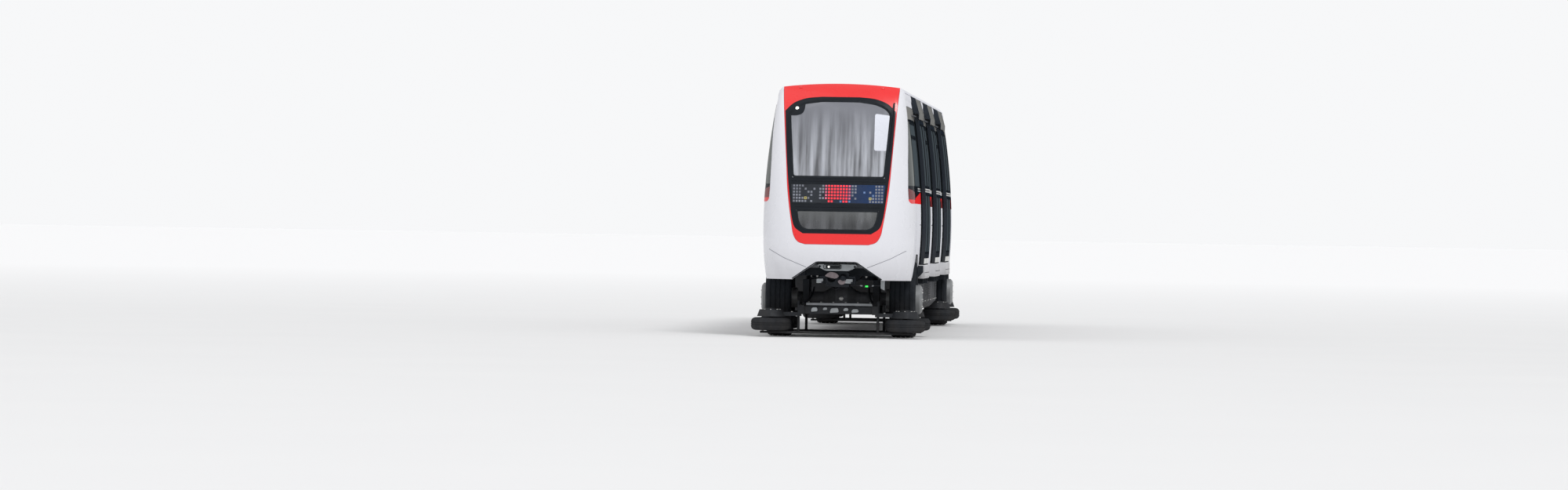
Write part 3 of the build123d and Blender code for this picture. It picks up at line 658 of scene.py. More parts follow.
def surface(
    name, colour, rough, mottle, patch, metallic=0.0, coat=0.0, grain=220.0, relief=0.00025,
    stretch=(1, 1, 1), grime=None, sheen=0.0, glow=0.0, specular=0.5, drift=None,
):
    """A finish: mottled colour, uneven gloss, fine relief and, low down, grime."""
    name = f"look_{name}"
    if name in bpy.data.materials:
        return bpy.data.materials[name]
    made, tree, place, shader = new_material(name)
    patches = spread(tree, noise(tree, place, patch, 6, stretch), 0.32, 0.68)
    tone = blend_colour(tree, patches, shade(colour, -mottle), shade(colour, mottle))
    if drift:
        other, low, high = drift
        tone = blend_colour(tree, along_axis(tree, place, "Y", low, high), tone, other)
    if grime:
        clean_z, dirty_z, amount = grime
        height = along_axis(tree, place, "Z", clean_z, dirty_z)
        streaks = spread(tree, noise(tree, place, 5.0, 6, (1.6, 1.6, 0.35), (7, 0, 1)), 0.38, 0.72, 0.1, amount)
        dirt = new_node(tree, "Math", {0: height, 1: streaks}, operation="MULTIPLY")
        tone = blend_colour(tree, dirt.outputs["Value"], tone, DUST)
    tree.links.new(tone, shader.inputs["Base Color"])
    field = noise(tree, place, patch * 5, 5, stretch, (1, 4, 2))
    uneven_gloss(tree, shader, field, rough * 0.82, min(1.0, rough * 1.2))
    if relief:
        relief_of(tree, shader, noise(tree, place, grain, 3, stretch, (3, 1, 2)), 0.5, relief)
    shader.inputs["Metallic"].default_value = metallic
    fade_gloss(tree, shader, 0.5, 0.93, specular, coat)
    shader.inputs["Coat Roughness"].default_value = 0.08
    shader.inputs["Sheen Weight"].default_value = sheen
    if glow:
        tree.links.new(tone, shader.inputs["Emission Color"])
        shader.inputs["Emission Strength"].default_value = glow
    return made


def glass(name, colour, clear, rough, reflection_streak, stretch, patch, top=None):
    """Tinted glass with painted reflection streaks and, where given, a painted reflection tone near its top."""
    name = f"look_{name}"
    if name in bpy.data.materials:
        return bpy.data.materials[name]
    made, tree, place, shader = new_material(name)
    field = spread(tree, noise(tree, place, patch, 5, stretch), 0.35, 0.65)
    # Painted reflection: streaks of lighter and darker tone
    tone = blend_colour(tree, field, shade(colour, -reflection_streak), shade(colour, reflection_streak))
    # Painted reflection: another tone towards the top
    if top:
        other, low, high = top
        tone = blend_colour(tree, along_axis(tree, place, "Z", low, high), tone, other)
    uneven_gloss(tree, shader, noise(tree, place, 9, 4, stretch, (2, 5, 1)), rough * 0.6, rough * 1.6)
    relief_of(tree, shader, noise(tree, place, 3, 2, (1, 1, 1), (5, 5, 5)), 0.15, 0.0004)
    shader.inputs["IOR"].default_value = 1.45
    facing = fade_gloss(tree, shader, 0.55, 0.9, 0.5, 0.4)
    slant = spread(tree, facing, 0.55, 0.9)
    tree.links.new(blend_colour(tree, slant, tone, (0.07, 0.088, 0.10)), shader.inputs["Base Color"])
    tree.links.new(spread(tree, slant, 0, 1, clear, 0.0), shader.inputs["Transmission Weight"])
    shader.inputs["Coat Roughness"].default_value = 0.03
    return made


# Relief of a surface that is smooth to the eye
FINE = 0.00004

# Finishes: name, colour or the sidebar's name of it, roughness, mottle, size of patches, and the rest.
# Grime is given as the heights where it starts and is full, and its amount.
FINISHES = {
    "white": (
        "white_paint", "body_white", 0.28, 0.012, 0.7,
        dict(coat=0.7, relief=FINE, grime=(1.25, 0.72, 0.16)),
    ),
    "red": ("red_paint", "surround_red", 0.24, 0.05, 1.2, dict(coat=0.8, relief=FINE)),
    "surround": ("surround_red", "surround_red", 0.3, 0.04, 1.2, dict(coat=0.3, relief=FINE, specular=0.4)),
    # Film in place of the glass on the mask's flanks; its strong streaky mottle is painted reflection
    "pane_film": (
        "pane_film", (0.10, 0.11, 0.105), 0.14, 0.55, 1.8, dict(coat=0.4, stretch=(6, 1, 0.4), relief=FINE),
    ),
    "maroon": ("maroon_film", "band_maroon", 0.3, 0.08, 2.2, dict(coat=0.5, relief=FINE)),
    "black": ("gloss_black", "frame_black", 0.22, 0.15, 2.0, dict(coat=0.04, relief=FINE, specular=0.18)),
    # Seam: dark strips that paint the shadow in the nose's panel gaps
    "seam": ("seam_grey", (0.09, 0.10, 0.13), 0.6, 0.15, 8.0, dict(relief=0.0002)),
    "leaf": ("leaf_paint", "leaf_navy", 0.34, 0.12, 1.8, dict(coat=0.08, grime=(1.4, 0.9, 0.25), specular=0.3)),
    "header": ("header_grey", "header_grey", 0.5, 0.1, 3.0, dict(stretch=(1, 1, 0.3), relief=0.0004)),
    "cream": ("sill_white", "sill_white", 0.5, 0.08, 6.0, dict(grime=(0.96, 0.74, 0.4))),
    "cant": ("cantrail_grey", (0.235, 0.232, 0.22), 0.42, 0.08, 2.5, dict(coat=0.2)),
    "silver": (
        "brushed_silver", (0.66, 0.66, 0.64), 0.3, 0.06, 4.0,
        dict(metallic=0.85, stretch=(0.1, 1, 1), grain=300),
    ),
    "rubber": ("rubber", (0.011, 0.014, 0.018), 0.72, 0.2, 5.0, dict(grain=400, relief=0.0004, specular=0.2)),
    "tyre": (
        "tyre_rubber", (0.014, 0.017, 0.022), 0.78, 0.25, 4.0,
        dict(grain=350, relief=0.0006, grime=(0.55, 0.0, 0.25), specular=0.2),
    ),
    "steel": (
        "frame_steel", (0.020, 0.024, 0.030), 0.6, 0.2, 5.0,
        dict(metallic=0.25, grime=(0.8, 0.1, 0.24), relief=0.0005, specular=0.2),
    ),
    "casting": (
        "grey_casting", (0.085, 0.09, 0.10), 0.62, 0.2, 7.0,
        dict(metallic=0.3, grain=180, grime=(0.7, 0.1, 0.55), relief=0.0008),
    ),
    "rim": (
        "wheel_paint", (0.30, 0.31, 0.32), 0.5, 0.16, 6.0,
        dict(metallic=0.35, grime=(0.9, 0.1, 0.45), relief=0.0004),
    ),
    "machined": ("machined_steel", (0.5, 0.5, 0.49), 0.34, 0.1, 8.0, dict(metallic=0.9, grain=300)),
    "plate": (
        "pale_plate", (0.40, 0.43, 0.45), 0.45, 0.12, 9.0,
        dict(metallic=0.2, grain=200, grime=(1.0, 0.3, 0.25)),
    ),
    "beam": (
        "pale_beam", (0.62, 0.65, 0.69), 0.45, 0.14, 9.0,
        dict(metallic=0.1, grain=200, grime=(0.6, 0.2, 0.35)),
    ),
    "lump": (
        "pinkish_casting", (0.27, 0.225, 0.235), 0.6, 0.2, 11.0,
        dict(metallic=0.2, grain=160, relief=0.0008),
    ),
    "green": ("green_lamp", (0.04, 0.75, 0.09), 0.35, 0.08, 20.0, dict(glow=1.6, relief=FINE)),
    "notice": ("notice_film", (0.74, 0.76, 0.84), 0.3, 0.03, 3.0, dict(coat=0.4, relief=FINE)),
    "lining_dark": ("dark_lining", (0.045, 0.055, 0.06), 0.6, 0.1, 5.0, dict(relief=0.0002, specular=0.2)),
    "ceiling": ("ceiling_panel", (0.72, 0.72, 0.70), 0.55, 0.03, 1.2, dict(relief=0.0003)),
    "lamp": ("ceiling_lamp", (0.95, 0.96, 0.93), 0.4, 0.02, 1.0, dict(relief=FINE, glow=0.7)),
    "floor": ("speckled_floor", (0.115, 0.12, 0.13), 0.62, 0.35, 90.0, dict(grain=260, relief=0.0004)),
    "pole": ("pole_metal", (0.72, 0.71, 0.68), 0.22, 0.05, 4.0, dict(metallic=0.95, grain=400, relief=FINE)),
    "cloth": ("seat_cloth", "seat_red", 0.85, 0.16, 34.0, dict(grain=520, relief=0.0012, sheen=0.35)),
    "shell": ("seat_shell", (0.16, 0.165, 0.175), 0.5, 0.1, 3.0, dict(grain=420, relief=0.0005)),
    "bellows": ("bellows_fabric", (0.035, 0.036, 0.04), 0.8, 0.2, 4.0, dict(grain=500, relief=0.0008)),
    "box": ("box_paint", (0.11, 0.115, 0.125), 0.55, 0.14, 3.0, dict(grime=(0.85, 0.25, 0.5), relief=0.0004)),
    "hose": ("hose_rubber", (0.014, 0.016, 0.02), 0.55, 0.2, 8.0, dict(grain=300, relief=0.0003, specular=0.3)),
    "display": (
        "display_face", (0.026, 0.031, 0.040), 0.3, 0.3, 2.4,
        dict(coat=0.1, relief=FINE, specular=0.3, drift=((0.006, 0.030, 0.105), -0.15, 0.45)),
    ),
}

# Glass: name, colour, clearness, roughness, painted reflection streaks, their stretch and size, and the painted
# reflection's colour at the top with the heights where it starts and is full
GLASSES = {
    # The windscreen's pale grey, its streaks and its darker top are painted reflections of the sky
    "windscreen": (
        "windscreen", (0.42, 0.435, 0.475), 0.34, 0.05, 0.62, (1, 7, 0.45), 1.9,
        ((0.30, 0.31, 0.35), 2.30, 3.0),
    ),
    # The lower windscreen's streaks and its lighter top are painted reflections
    "lower_glass": (
        "lower_windscreen", (0.13, 0.135, 0.145), 0.5, 0.05, 0.6, (1, 5, 0.7), 1.7,
        ((0.22, 0.23, 0.235), 1.45, 1.66),
    ),
    "glass": ("side_glass", (0.40, 0.43, 0.42), 0.72, 0.04, 0.16, (1.2, 1, 0.6), 1.7),
}

# Lit squares: colour, mottle and glow
SQUARES = {
    "pale": ((0.17, 0.18, 0.215), 0.3, 0.2),
    "blue": ((0.10, 0.17, 0.33), 0.25, 0.25),
    "pink": ((0.55, 0.10, 0.17), 0.2, 0.35),
    "red": ((0.85, 0.03, 0.045), 0.1, 0.6),
    "amber": ((0.42, 0.36, 0.12), 0.1, 0.3),
}


def palette(context):
    """The car's finishes, made from the colours in the sidebar."""
    look = context.scene.metro_look
    made = {}
    for key, (name, colour, rough, mottle, patch, rest) in FINISHES.items():
        colour = tuple(getattr(look, colour)) if isinstance(colour, str) else colour
        made[key] = surface(name, colour, rough, mottle, patch, **rest)
    return made | {key: glass(*row) for key, row in GLASSES.items()}


def dress(nodes, finish):
    """Give the frame's own nodes a finish."""
    for name in nodes:
        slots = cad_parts[name].data.materials
        slots.clear()
        slots.append(finish)


# Properties


class MetroLook(bpy.types.PropertyGroup):
    """Colours of the car's paints and cloths."""

    body_white: FloatVectorProperty(
        name="Body white", description="Paint of the mask, walls and roof",
        default=(0.79, 0.795, 0.84), subtype="COLOR",
    )
    surround_red: FloatVectorProperty(
        name="Surround red", description="Paint round the windscreen and of the side band",
        default=(0.86, 0.028, 0.030), subtype="COLOR",
    )
    band_maroon: FloatVectorProperty(
        name="Band maroon", description="Dark facets of the side band",
        default=(0.17, 0.028, 0.03), subtype="COLOR",
    )
    frame_black: FloatVectorProperty(
        name="Frame black", description="Frame of the windscreen and glazing band",
        default=(0.012, 0.015, 0.02), subtype="COLOR",
    )
    leaf_navy: FloatVectorProperty(
        name="Leaf navy", description="Paint of the door leaves",
        default=(0.016, 0.022, 0.032), subtype="COLOR",
    )
    header_grey: FloatVectorProperty(
        name="Header grey", description="Covers over the doors",
        default=(0.235, 0.235, 0.225), subtype="COLOR",
    )
    sill_white: FloatVectorProperty(
        name="Sill white", description="Thresholds under the doors",
        default=(0.66, 0.66, 0.68), subtype="COLOR",
    )
    seat_red: FloatVectorProperty(
        name="Seat red", description="Cloth of the seats",
        default=(0.32, 0.02, 0.035), subtype="COLOR",
    )


class MetroSizes(bpy.types.PropertyGroup):
    """Sizes of the fine pieces."""

    gasket: FloatProperty(
        name="Gasket width", description="Width of the rubber round a pane",
        default=0.022, unit="LENGTH",
    )
    # Width of the dark strips that paint shadow into the nose's panel gaps
    seam: FloatProperty(
        name="Seam width", description="Width of the dark joint between panels",
        default=0.004, unit="LENGTH",
    )
    belt_high: FloatProperty(
        name="Belt rail height", description="Height of the silver belt rails",
        default=0.019, unit="LENGTH",
    )
    belt_proud: FloatProperty(
        name="Belt rail depth", description="How far the belt rails stand out of the wall",
        default=0.006, unit="LENGTH",
    )
    groove_deep: FloatProperty(
        name="Tread groove depth", description="Depth of the grooves round the tyres",
        default=0.009, unit="LENGTH",
    )
    dot: FloatProperty(
        name="Display square", description="Side of one lit square of the display",
        default=0.0245, unit="LENGTH",
    )
    dot_columns: IntProperty(
        name="Display columns", description="Squares across the display", default=31,
    )
    dot_rows: IntProperty(
        name="Display rows", description="Squares up the display", default=6,
    )


# Pieces


class METRO_OT_stage(bpy.types.Operator):
    """Set the floor, the soft light and the camera."""

    bl_idname = "metro.stage"
    bl_label = "Stage"

    def execute(self, context):
        scene = context.scene
        scene.view_settings.view_transform = "Standard"
        self.ground(scene)
        self.sky(scene)
        for row in (("key", 48, 30, 1.25, 16), ("fill", 50, -62, 0.4, 60)):
            self.sun(scene, *row)
        self.photo_camera(scene)
        return {"FINISHED"}

    def ground(self, scene):
        """A pale floor that fades into the backdrop."""
        reach = 900.0
        mesh = bmesh.new()
        grid(mesh, [[(x, y, 0) for x in (-reach, reach)] for y in (-reach, reach)], around=False)
        data = bpy.data.meshes.new("floor_plane")
        mesh.to_mesh(data)
        mesh.free()
        floor = bpy.data.objects.new("floor_plane", data)
        scene.collection.objects.link(floor)
        made, tree, place, shader = new_material("pale_floor")
        near = blend_colour(tree, noise(tree, place, 0.4), (0.84, 0.84, 0.845), (0.87, 0.87, 0.87))
        away = new_node(tree, "VectorMath", {0: place}, operation="LENGTH").outputs["Value"]
        fade_start, fade_end = 14.0, 90.0
        tone = blend_colour(tree, spread(tree, away, fade_start, fade_end), near, (0.985, 0.985, 0.99))
        tree.links.new(tone, shader.inputs["Base Color"])
        shader.inputs["Roughness"].default_value = 0.9
        shader.inputs["Specular IOR Level"].default_value = 0.1
        data.materials.append(made)

    def sky(self, scene):
        """An even backdrop, brighter to the camera than as light."""
        world = bpy.data.worlds.new("studio")
        scene.world = world
        world.use_nodes = True
        tree = world.node_tree
        back = tree.nodes["Background"]
        back.inputs["Color"].default_value = (0.95, 0.955, 0.965, 1)
        rays = tree.nodes.new("ShaderNodeLightPath").outputs
        inputs = {0: rays["Is Camera Ray"], 1: rays["Is Transmission Ray"]}
        seen = new_node(tree, "Math", inputs, operation="MAXIMUM").outputs["Value"]
        as_light, as_backdrop = 0.62, 0.98
        tree.links.new(spread(tree, seen, 0, 1, as_light, as_backdrop), back.inputs["Strength"])

    def sun(self, scene, name, height, turn, power, size):
        """A lamp at a height and turn in degrees, with its power and angular size."""
        lamp = bpy.data.lights.new(name, "SUN")
        lamp.energy = power
        lamp.angle = math.radians(size)
        holder = bpy.data.objects.new(name, lamp)
        up, around = math.radians(height), math.radians(turn)
        level = math.cos(up)
        towards = Vector((level * math.cos(around), level * math.sin(around), math.sin(up)))
        holder.rotation_euler = towards.to_track_quat("Z", "Y").to_euler()
        scene.collection.objects.link(holder)

    def photo_camera(self, scene):
        """The camera of the photograph."""
        level = math.cos(CAMERA_PITCH)
        ahead = Vector((-math.cos(CAMERA_YAW) * level, math.sin(CAMERA_YAW) * level, math.sin(CAMERA_PITCH)))
        right = ahead.cross(Vector((0, 0, 1))).normalized()
        up = right.cross(ahead)
        cos, sin = math.cos(CAMERA_ROLL), math.sin(CAMERA_ROLL)
        turn = Matrix((right * cos + up * sin, up * cos - right * sin, -ahead)).transposed()
        data = bpy.data.cameras.new("camera")
        data.sensor_width = 36
        data.sensor_fit = "HORIZONTAL"
        data.lens = PHOTO_FOCAL * data.sensor_width / PHOTO_WIDE
        data.clip_start = 0.1
        data.clip_end = 3000
        camera = bpy.data.objects.new("camera", data)
        scene.collection.objects.link(camera)
        camera.matrix_world = Matrix.Translation(CAMERA_PLACE) @ turn.to_4x4()
        scene.camera = camera


class METRO_OT_nose(bpy.types.Operator):
    """Finish the nose's panels, and add the dark strips that paint shadow into their seams, their gaskets and
    corner lamp.
    """

    bl_idname = "metro.nose"
    bl_label = "Nose"

    def execute(self, context):
        look = palette(context)
        sizes = context.scene.metro_sizes
        dress(["nose_mask"], look["white"])
        dress(["nose_surround"], look["surround"])
        dress(["windscreen_frame"], look["black"])
        dress(["windscreen_upper"], look["windscreen"])
        dress(["windscreen_lower"], look["lower_glass"])
        dress(["display_panel"], look["display"])

        lap = 0.006
        red, black = bmesh.new(), bmesh.new()
        edge_film(red, SURROUND, lap, 0.0006)
        edge_film(black, BLACK_FRAME[:6], lap, 0.0008)
        edge_film(black, BLACK_FRAME[5:], lap, 0.0008)
        piece("surround_edge", red, look["surround"], "car", "red_paint", smooth=False)
        piece("frame_edge", black, look["black"], "car", "black_trim", smooth=False)

        # Painted shadow: dark strips along the surround's edge and the apron's panel gaps
        seams = bmesh.new()
        outer = [tuple(p) for gap in smooth_line(SURROUND) for p in gap[:-1]] + [SURROUND[-1]]
        left = [(-y, z) for y, z in reversed(outer)]
        nose_line(seams, left + outer, sizes.seam * 0.7, -0.003, 0.0006)
        for side in SIDES.values():
            nose_line(seams, [(side * y, z) for y, z in APRON_SEAM], sizes.seam * 1.2, -0.003, 0.0012)
        piece("nose_seams", seams, look["seam"], "car", "black_trim", smooth=False)

        gaskets = bmesh.new()
        front_band(gaskets, UPPER_GLASS, 0.006, -sizes.gasket, -0.004, 0.0035, 0.05)
        front_band(gaskets, LOWER_GLASS, 0.006, -sizes.gasket * 0.8, -0.004, 0.0035, 0.04)
        front_band(gaskets, DISPLAY, 0.004, -0.012, -0.003, 0.0025, 0.02)
        piece("windscreen_gaskets", gaskets, look["rubber"], "car", "black_trim", bevel=0.001)

        ledges = bmesh.new()
        for z, wide, reach in ((2.028, 0.016, 0.612), (1.692, 0.012, 0.548)):
            nose_line(ledges, [(-reach, z), (reach, z)], wide, -0.002, 0.006)
        piece("windscreen_ledges", ledges, look["black"], "car", "dark_paint", bevel=0.002)

        tab = bmesh.new()
        corner = 0.03
        patch(tab, on_nose, divided(rounded(CORNER_TAB, corner, 4), 0.03), SUNK, 0.0032)
        piece("corner_tab", tab, look["black"], "car", "dark_paint")

        lamp = bmesh.new()
        dome = [(0, 0), (0, 0.022), (0.004, 0.022), (0.008, 0.016), (0.010, 0)]
        lathe(lamp, dome, on_nose(-0.562, 2.962, 0.0028), "X", 28, closed=False)
        piece("corner_lamp", lamp, look["lamp"], "car", "display")

        notice = bmesh.new()
        patch(notice, on_nose, divided(rounded(NOTICE, corner, 4), 0.04), SUNK, 0.0016, 9)
        piece("notice_panel", notice, look["notice"], "car", "black_trim")

        lugs = bmesh.new()
        for side in SIDES.values():
            span_slab(lugs, on_nose, (side * 0.510, side * 0.555), (3.226, 3.250), -0.003, 0.011)
        piece("roof_lugs", lugs, look["red"], "car", "red_paint", bevel=0.006)
        return {"FINISHED"}


class METRO_OT_display(bpy.types.Operator):
    """Light the display's squares."""

    bl_idname = "metro.display"
    bl_label = "Display"

    def execute(self, context):
        sizes = context.scene.metro_sizes
        chance = random.Random(12)
        columns, rows = sizes.dot_columns, sizes.dot_rows
        wide, high, middle_z = 1.175, 0.238, 1.8615
        low_out, high_out = 0.0002, 0.0014
        half = sizes.dot / 2
        meshes = {tone: bmesh.new() for tone in SQUARES}
        middle = (columns - 1) / 2
        for column in range(columns):
            y = (column - middle) * wide / columns
            for row in range(rows):
                z = middle_z + (row - (rows - 1) / 2) * high / rows
                if column in (4, columns - 5) and row == 1:
                    outline = rect(y - half, y + half, z - half, z + half)
                    band(meshes["amber"], on_nose, outline, 0.004, -0.005, low_out, high_out)
                    continue
                roll = chance.random()
                for tone, share in self.chances(abs(column - middle), middle, row, y):
                    if roll < share:
                        span = (y - half, y + half), (z - half, z + half)
                        span_slab(meshes[tone], on_nose, *span, low_out, high_out)
                        break
                    roll -= share
        for tone, mesh in meshes.items():
            colour, mottle, glow = SQUARES[tone]
            finish = surface(f"{tone}_squares", colour, 0.4, mottle, 9.0, relief=0.0, glow=glow)
            piece(f"display_squares_{tone}", mesh, finish, "car", "display", smooth=False)
        return {"FINISHED"}

    def chances(self, off_centre, middle, row, y):
        """The tones a square may take, by its place, each with its chance."""
        if off_centre > middle - 2.5 or (off_centre > middle - 4.5 and row < 2):
            return [("pale", 1.0)]
        if row > 0 and off_centre < 7:
            if off_centre < 5:
                return [("red" if off_centre < 3.5 else "pink", 1.0)]
            return [("pale", 0.7)]
        if off_centre in (2, 3):
            return [("red", 1.0)]
        return [("blue", 0.20), ("pale", 0.12)] if y > 0 else [("pale", 0.30)]


class METRO_OT_wiper(bpy.types.Operator):
    """Replace the wiper by its arm, blade and pivot."""

    bl_idname = "metro.wiper"
    bl_label = "Wiper"

    def execute(self, context):
        look = palette(context)
        foot, tip = Vector((0.619, 2.380)), Vector((0.684, 3.040))
        arm = bmesh.new()
        section = ((-1, 0), (-0.6, 1), (0.6, 1), (1, 0))
        rows = []
        for t in spaced(0, 1, 16):
            y, z = foot.lerp(tip, t)
            half = 0.013 - 0.006 * t
            rows.append([on_nose(y + a * half, z, 0.0085 + b * 0.0065) for a, b in section])
        grid(arm, rows)
        pivot = [(0, 0), (0, 0.019), (0.008, 0.019), (0.013, 0.015), (0.0145, 0)]
        lathe(arm, pivot, on_nose(*foot, 0), "X", 28, closed=False)
        made = piece("wiper_arm", arm, look["black"], "car", "black_trim", bevel=0.0008)

        foot, tip = Vector((0.652, 2.420)), Vector((0.694, 3.046))
        blade = bmesh.new()
        section = ((-0.008, 0.0006), (-0.004, 0.009), (0.004, 0.009), (0.008, 0.0006))
        rows = []
        for t in spaced(0, 1, 24):
            y, z = foot.lerp(tip, t)
            rows.append([on_nose(y + across, z, out) for across, out in section])
        grid(blade, rows)
        for t in (0.3, 0.7):
            y, z = foot.lerp(tip, t)
            tube(blade, [on_nose(y, z, 0.008), on_nose(y - 0.022, z - 0.004, 0.011)], 0.004, 8)
        piece("wiper_blade", blade, look["rubber"], "car", "black_trim")
        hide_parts("wiper")
        return {"FINISHED"}


class METRO_OT_front_gear(bpy.types.Operator):
    """Finish what shows under the nose: slotted plate, coupler and its fittings."""

    bl_idname = "metro.front_gear"
    bl_label = "Gear under the nose"

    def execute(self, context):
        look = palette(context)
        dress(["nose_bar"], look["plate"])
        dress(["coupler"], look["steel"])
        dress(["nose_cable"], look["hose"])
        self.plate(look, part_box("nose_bar")[1].x)
        coupler_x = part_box("coupler")[1].x - 0.075
        self.coupler(look, coupler_x)

        bands, lamp = bmesh.new(), bmesh.new()
        tube(bands, [(6.087, 0.285, 0.6824), (6.0775, 0.315, 0.678)], 0.0095, 12)
        tube(bands, [(6.0684, 0.440, 0.6798), (6.071, 0.462, 0.6829)], 0.0095, 12)
        lit = [(6.0657, 0.352, 0.6726), (6.0613, 0.370, 0.6708), (6.0622, 0.388, 0.6725)]
        tube(lamp, lit, 0.0105, 12)
        piece("cable_bands", bands, look["plate"], "car", "black_trim")
        piece("cable_lamp", lamp, look["green"], "car", "display")
        self.hoses(look, coupler_x)
        return {"FINISHED"}

    def plate(self, look, face):
        """The plate's screws, slot and lamp, and a dark strip along the cut-out below it that paints the shade
        of its groove.
        """
        screws = bmesh.new()
        head = [(0, 0), (0, 0.014), (0.004, 0.014), (0.006, 0.009), (0.006, 0)]
        for side in SIDES.values():
            lathe(screws, head, (face, side * 0.226, 0.922), "X", 20, closed=False)
        piece("plate_screws", screws, look["black"], "car", "grey_metal")

        slot = bmesh.new()
        outline = rounded(rect(-0.172, 0.042, 0.893, 0.945), 0.014, 4)
        band(slot, ahead_of(face), outline, 0.006, -0.002, -0.006, 0.003)
        span_slab(slot, ahead_of(face), (-0.166, 0.036), (0.898, 0.940), -0.0085, -0.0065)
        piece("plate_slot_rim", slot, look["black"], "car", "black_trim", bevel=0.001)

        lamp = bmesh.new()
        dome = [(0, 0), (0, 0.014), (0.005, 0.014), (0.009, 0.009), (0.010, 0)]
        lathe(lamp, dome, (face - 0.005, -0.110, 0.919), "X", 24, closed=False)
        piece("plate_lamp", lamp, look["lamp"], "car", "display")

        # Painted shade: a dark strip along the groove at the cut-out's edge
        lining = bmesh.new()
        nose_line(lining, both_halves(COUPLER_EDGE), 0.012, -0.012, 0.002)
        piece("cutout_lining", lining, look["rubber"], "car", "black_trim", smooth=False)

    def coupler(self, look, x):
        """The coupler's fittings, plates and castings."""
        gear, pale, lumps = (bmesh.new() for _ in range(3))
        for side in SIDES.values():
            box_mesh(gear, (x - 0.11, x + 0.02), (side * 0.150, side * 0.232), (0.768, 0.800))
            tube(gear, [(x - 0.02, side * 0.19, 0.715), (x + 0.06, side * 0.19, 0.715)], 0.014, 14)
        places = [Vector((x, y, z)) for y in (-0.12, 0.12) for z in (0.685, 0.84)]
        bolts(gear, places, "X", 1, 0.013, 0.012)
        piece("coupler_fittings", gear, look["steel"], "car", "grey_metal", bevel=0.003)
        for y_span in ((-0.268, -0.183), (0.095, 0.198)):
            box_mesh(pale, (x + 0.022, x + 0.034), y_span, (0.707, 0.764))
        piece("coupler_plates", pale, look["plate"], "car", "grey_metal", bevel=0.004)
        outlines = (
            [(-0.17, 0.80), (-0.10, 0.855), (-0.02, 0.845), (0.03, 0.80), (-0.02, 0.765), (-0.10, 0.78)],
            [(0.0, 0.735), (0.05, 0.765), (0.11, 0.75), (0.10, 0.70), (0.04, 0.685)],
        )
        for outline in outlines:
            patch(lumps, ahead_of(x), rounded(outline, 0.025, 3), 0.0, 0.05, 3)
        piece("coupler_castings", lumps, look["lump"], "car", "grey_metal", bevel=0.004)

    def hoses(self, look, x):
        """The hoses that sag from the coupler back to the underframe."""
        hoses = bmesh.new()
        rows = ((-0.11, 0.835, 0.10, -0.36), (0.10, 0.835, 0.12, 0.30), (0.02, 0.66, 0.14, -0.16))
        for y, z, sag, end_y in rows:
            start, stop = Vector((x - 0.16, y, z)), Vector((x - 0.52, end_y, 0.79))
            points = []
            for t in spaced(0, 1, 14):
                drop = sag * 4 * t * (1 - t) * 0.6
                points.append(start.lerp(stop, t) - Vector((0, 0, drop)))
            tube(hoses, points, 0.011, 10)
        piece("coupler_hoses", hoses, look["hose"], "car", "black_trim")


FLAT = {"smooth": False}

# Pieces of one side: key of the mesh, piece, finish, slot and how its edges are made
SIDE_PIECES = (
    ("glazing", "glazing_band", "black", "dark_paint", FLAT),
    ("red", "red_band", "red", "red_paint", FLAT),
    ("maroon", "maroon_band", "maroon", "red_paint", FLAT),
    ("dark", "dark_strips", "black", "dark_paint", FLAT),
    ("panes", "pane_films", "pane_film", "glass", FLAT),
    ("beads", "belt_beads", "plate", "rail_metal", {"bevel": 0.002}),
    ("belts", "belt_rails", "silver", "rail_metal", {"bevel": 0.002}),
    ("cant", "cantrail_panels", "cant", "header_grey", {"bevel": 0.001}),
    ("gaskets", "window_gaskets", "rubber", "black_trim", {"bevel": 0.0015}),
    ("hoppers", "hopper_frames", "black", "black_trim", {"bevel": 0.001}),
    ("seams", "wall_seams", "rubber", "black_trim", FLAT),
)


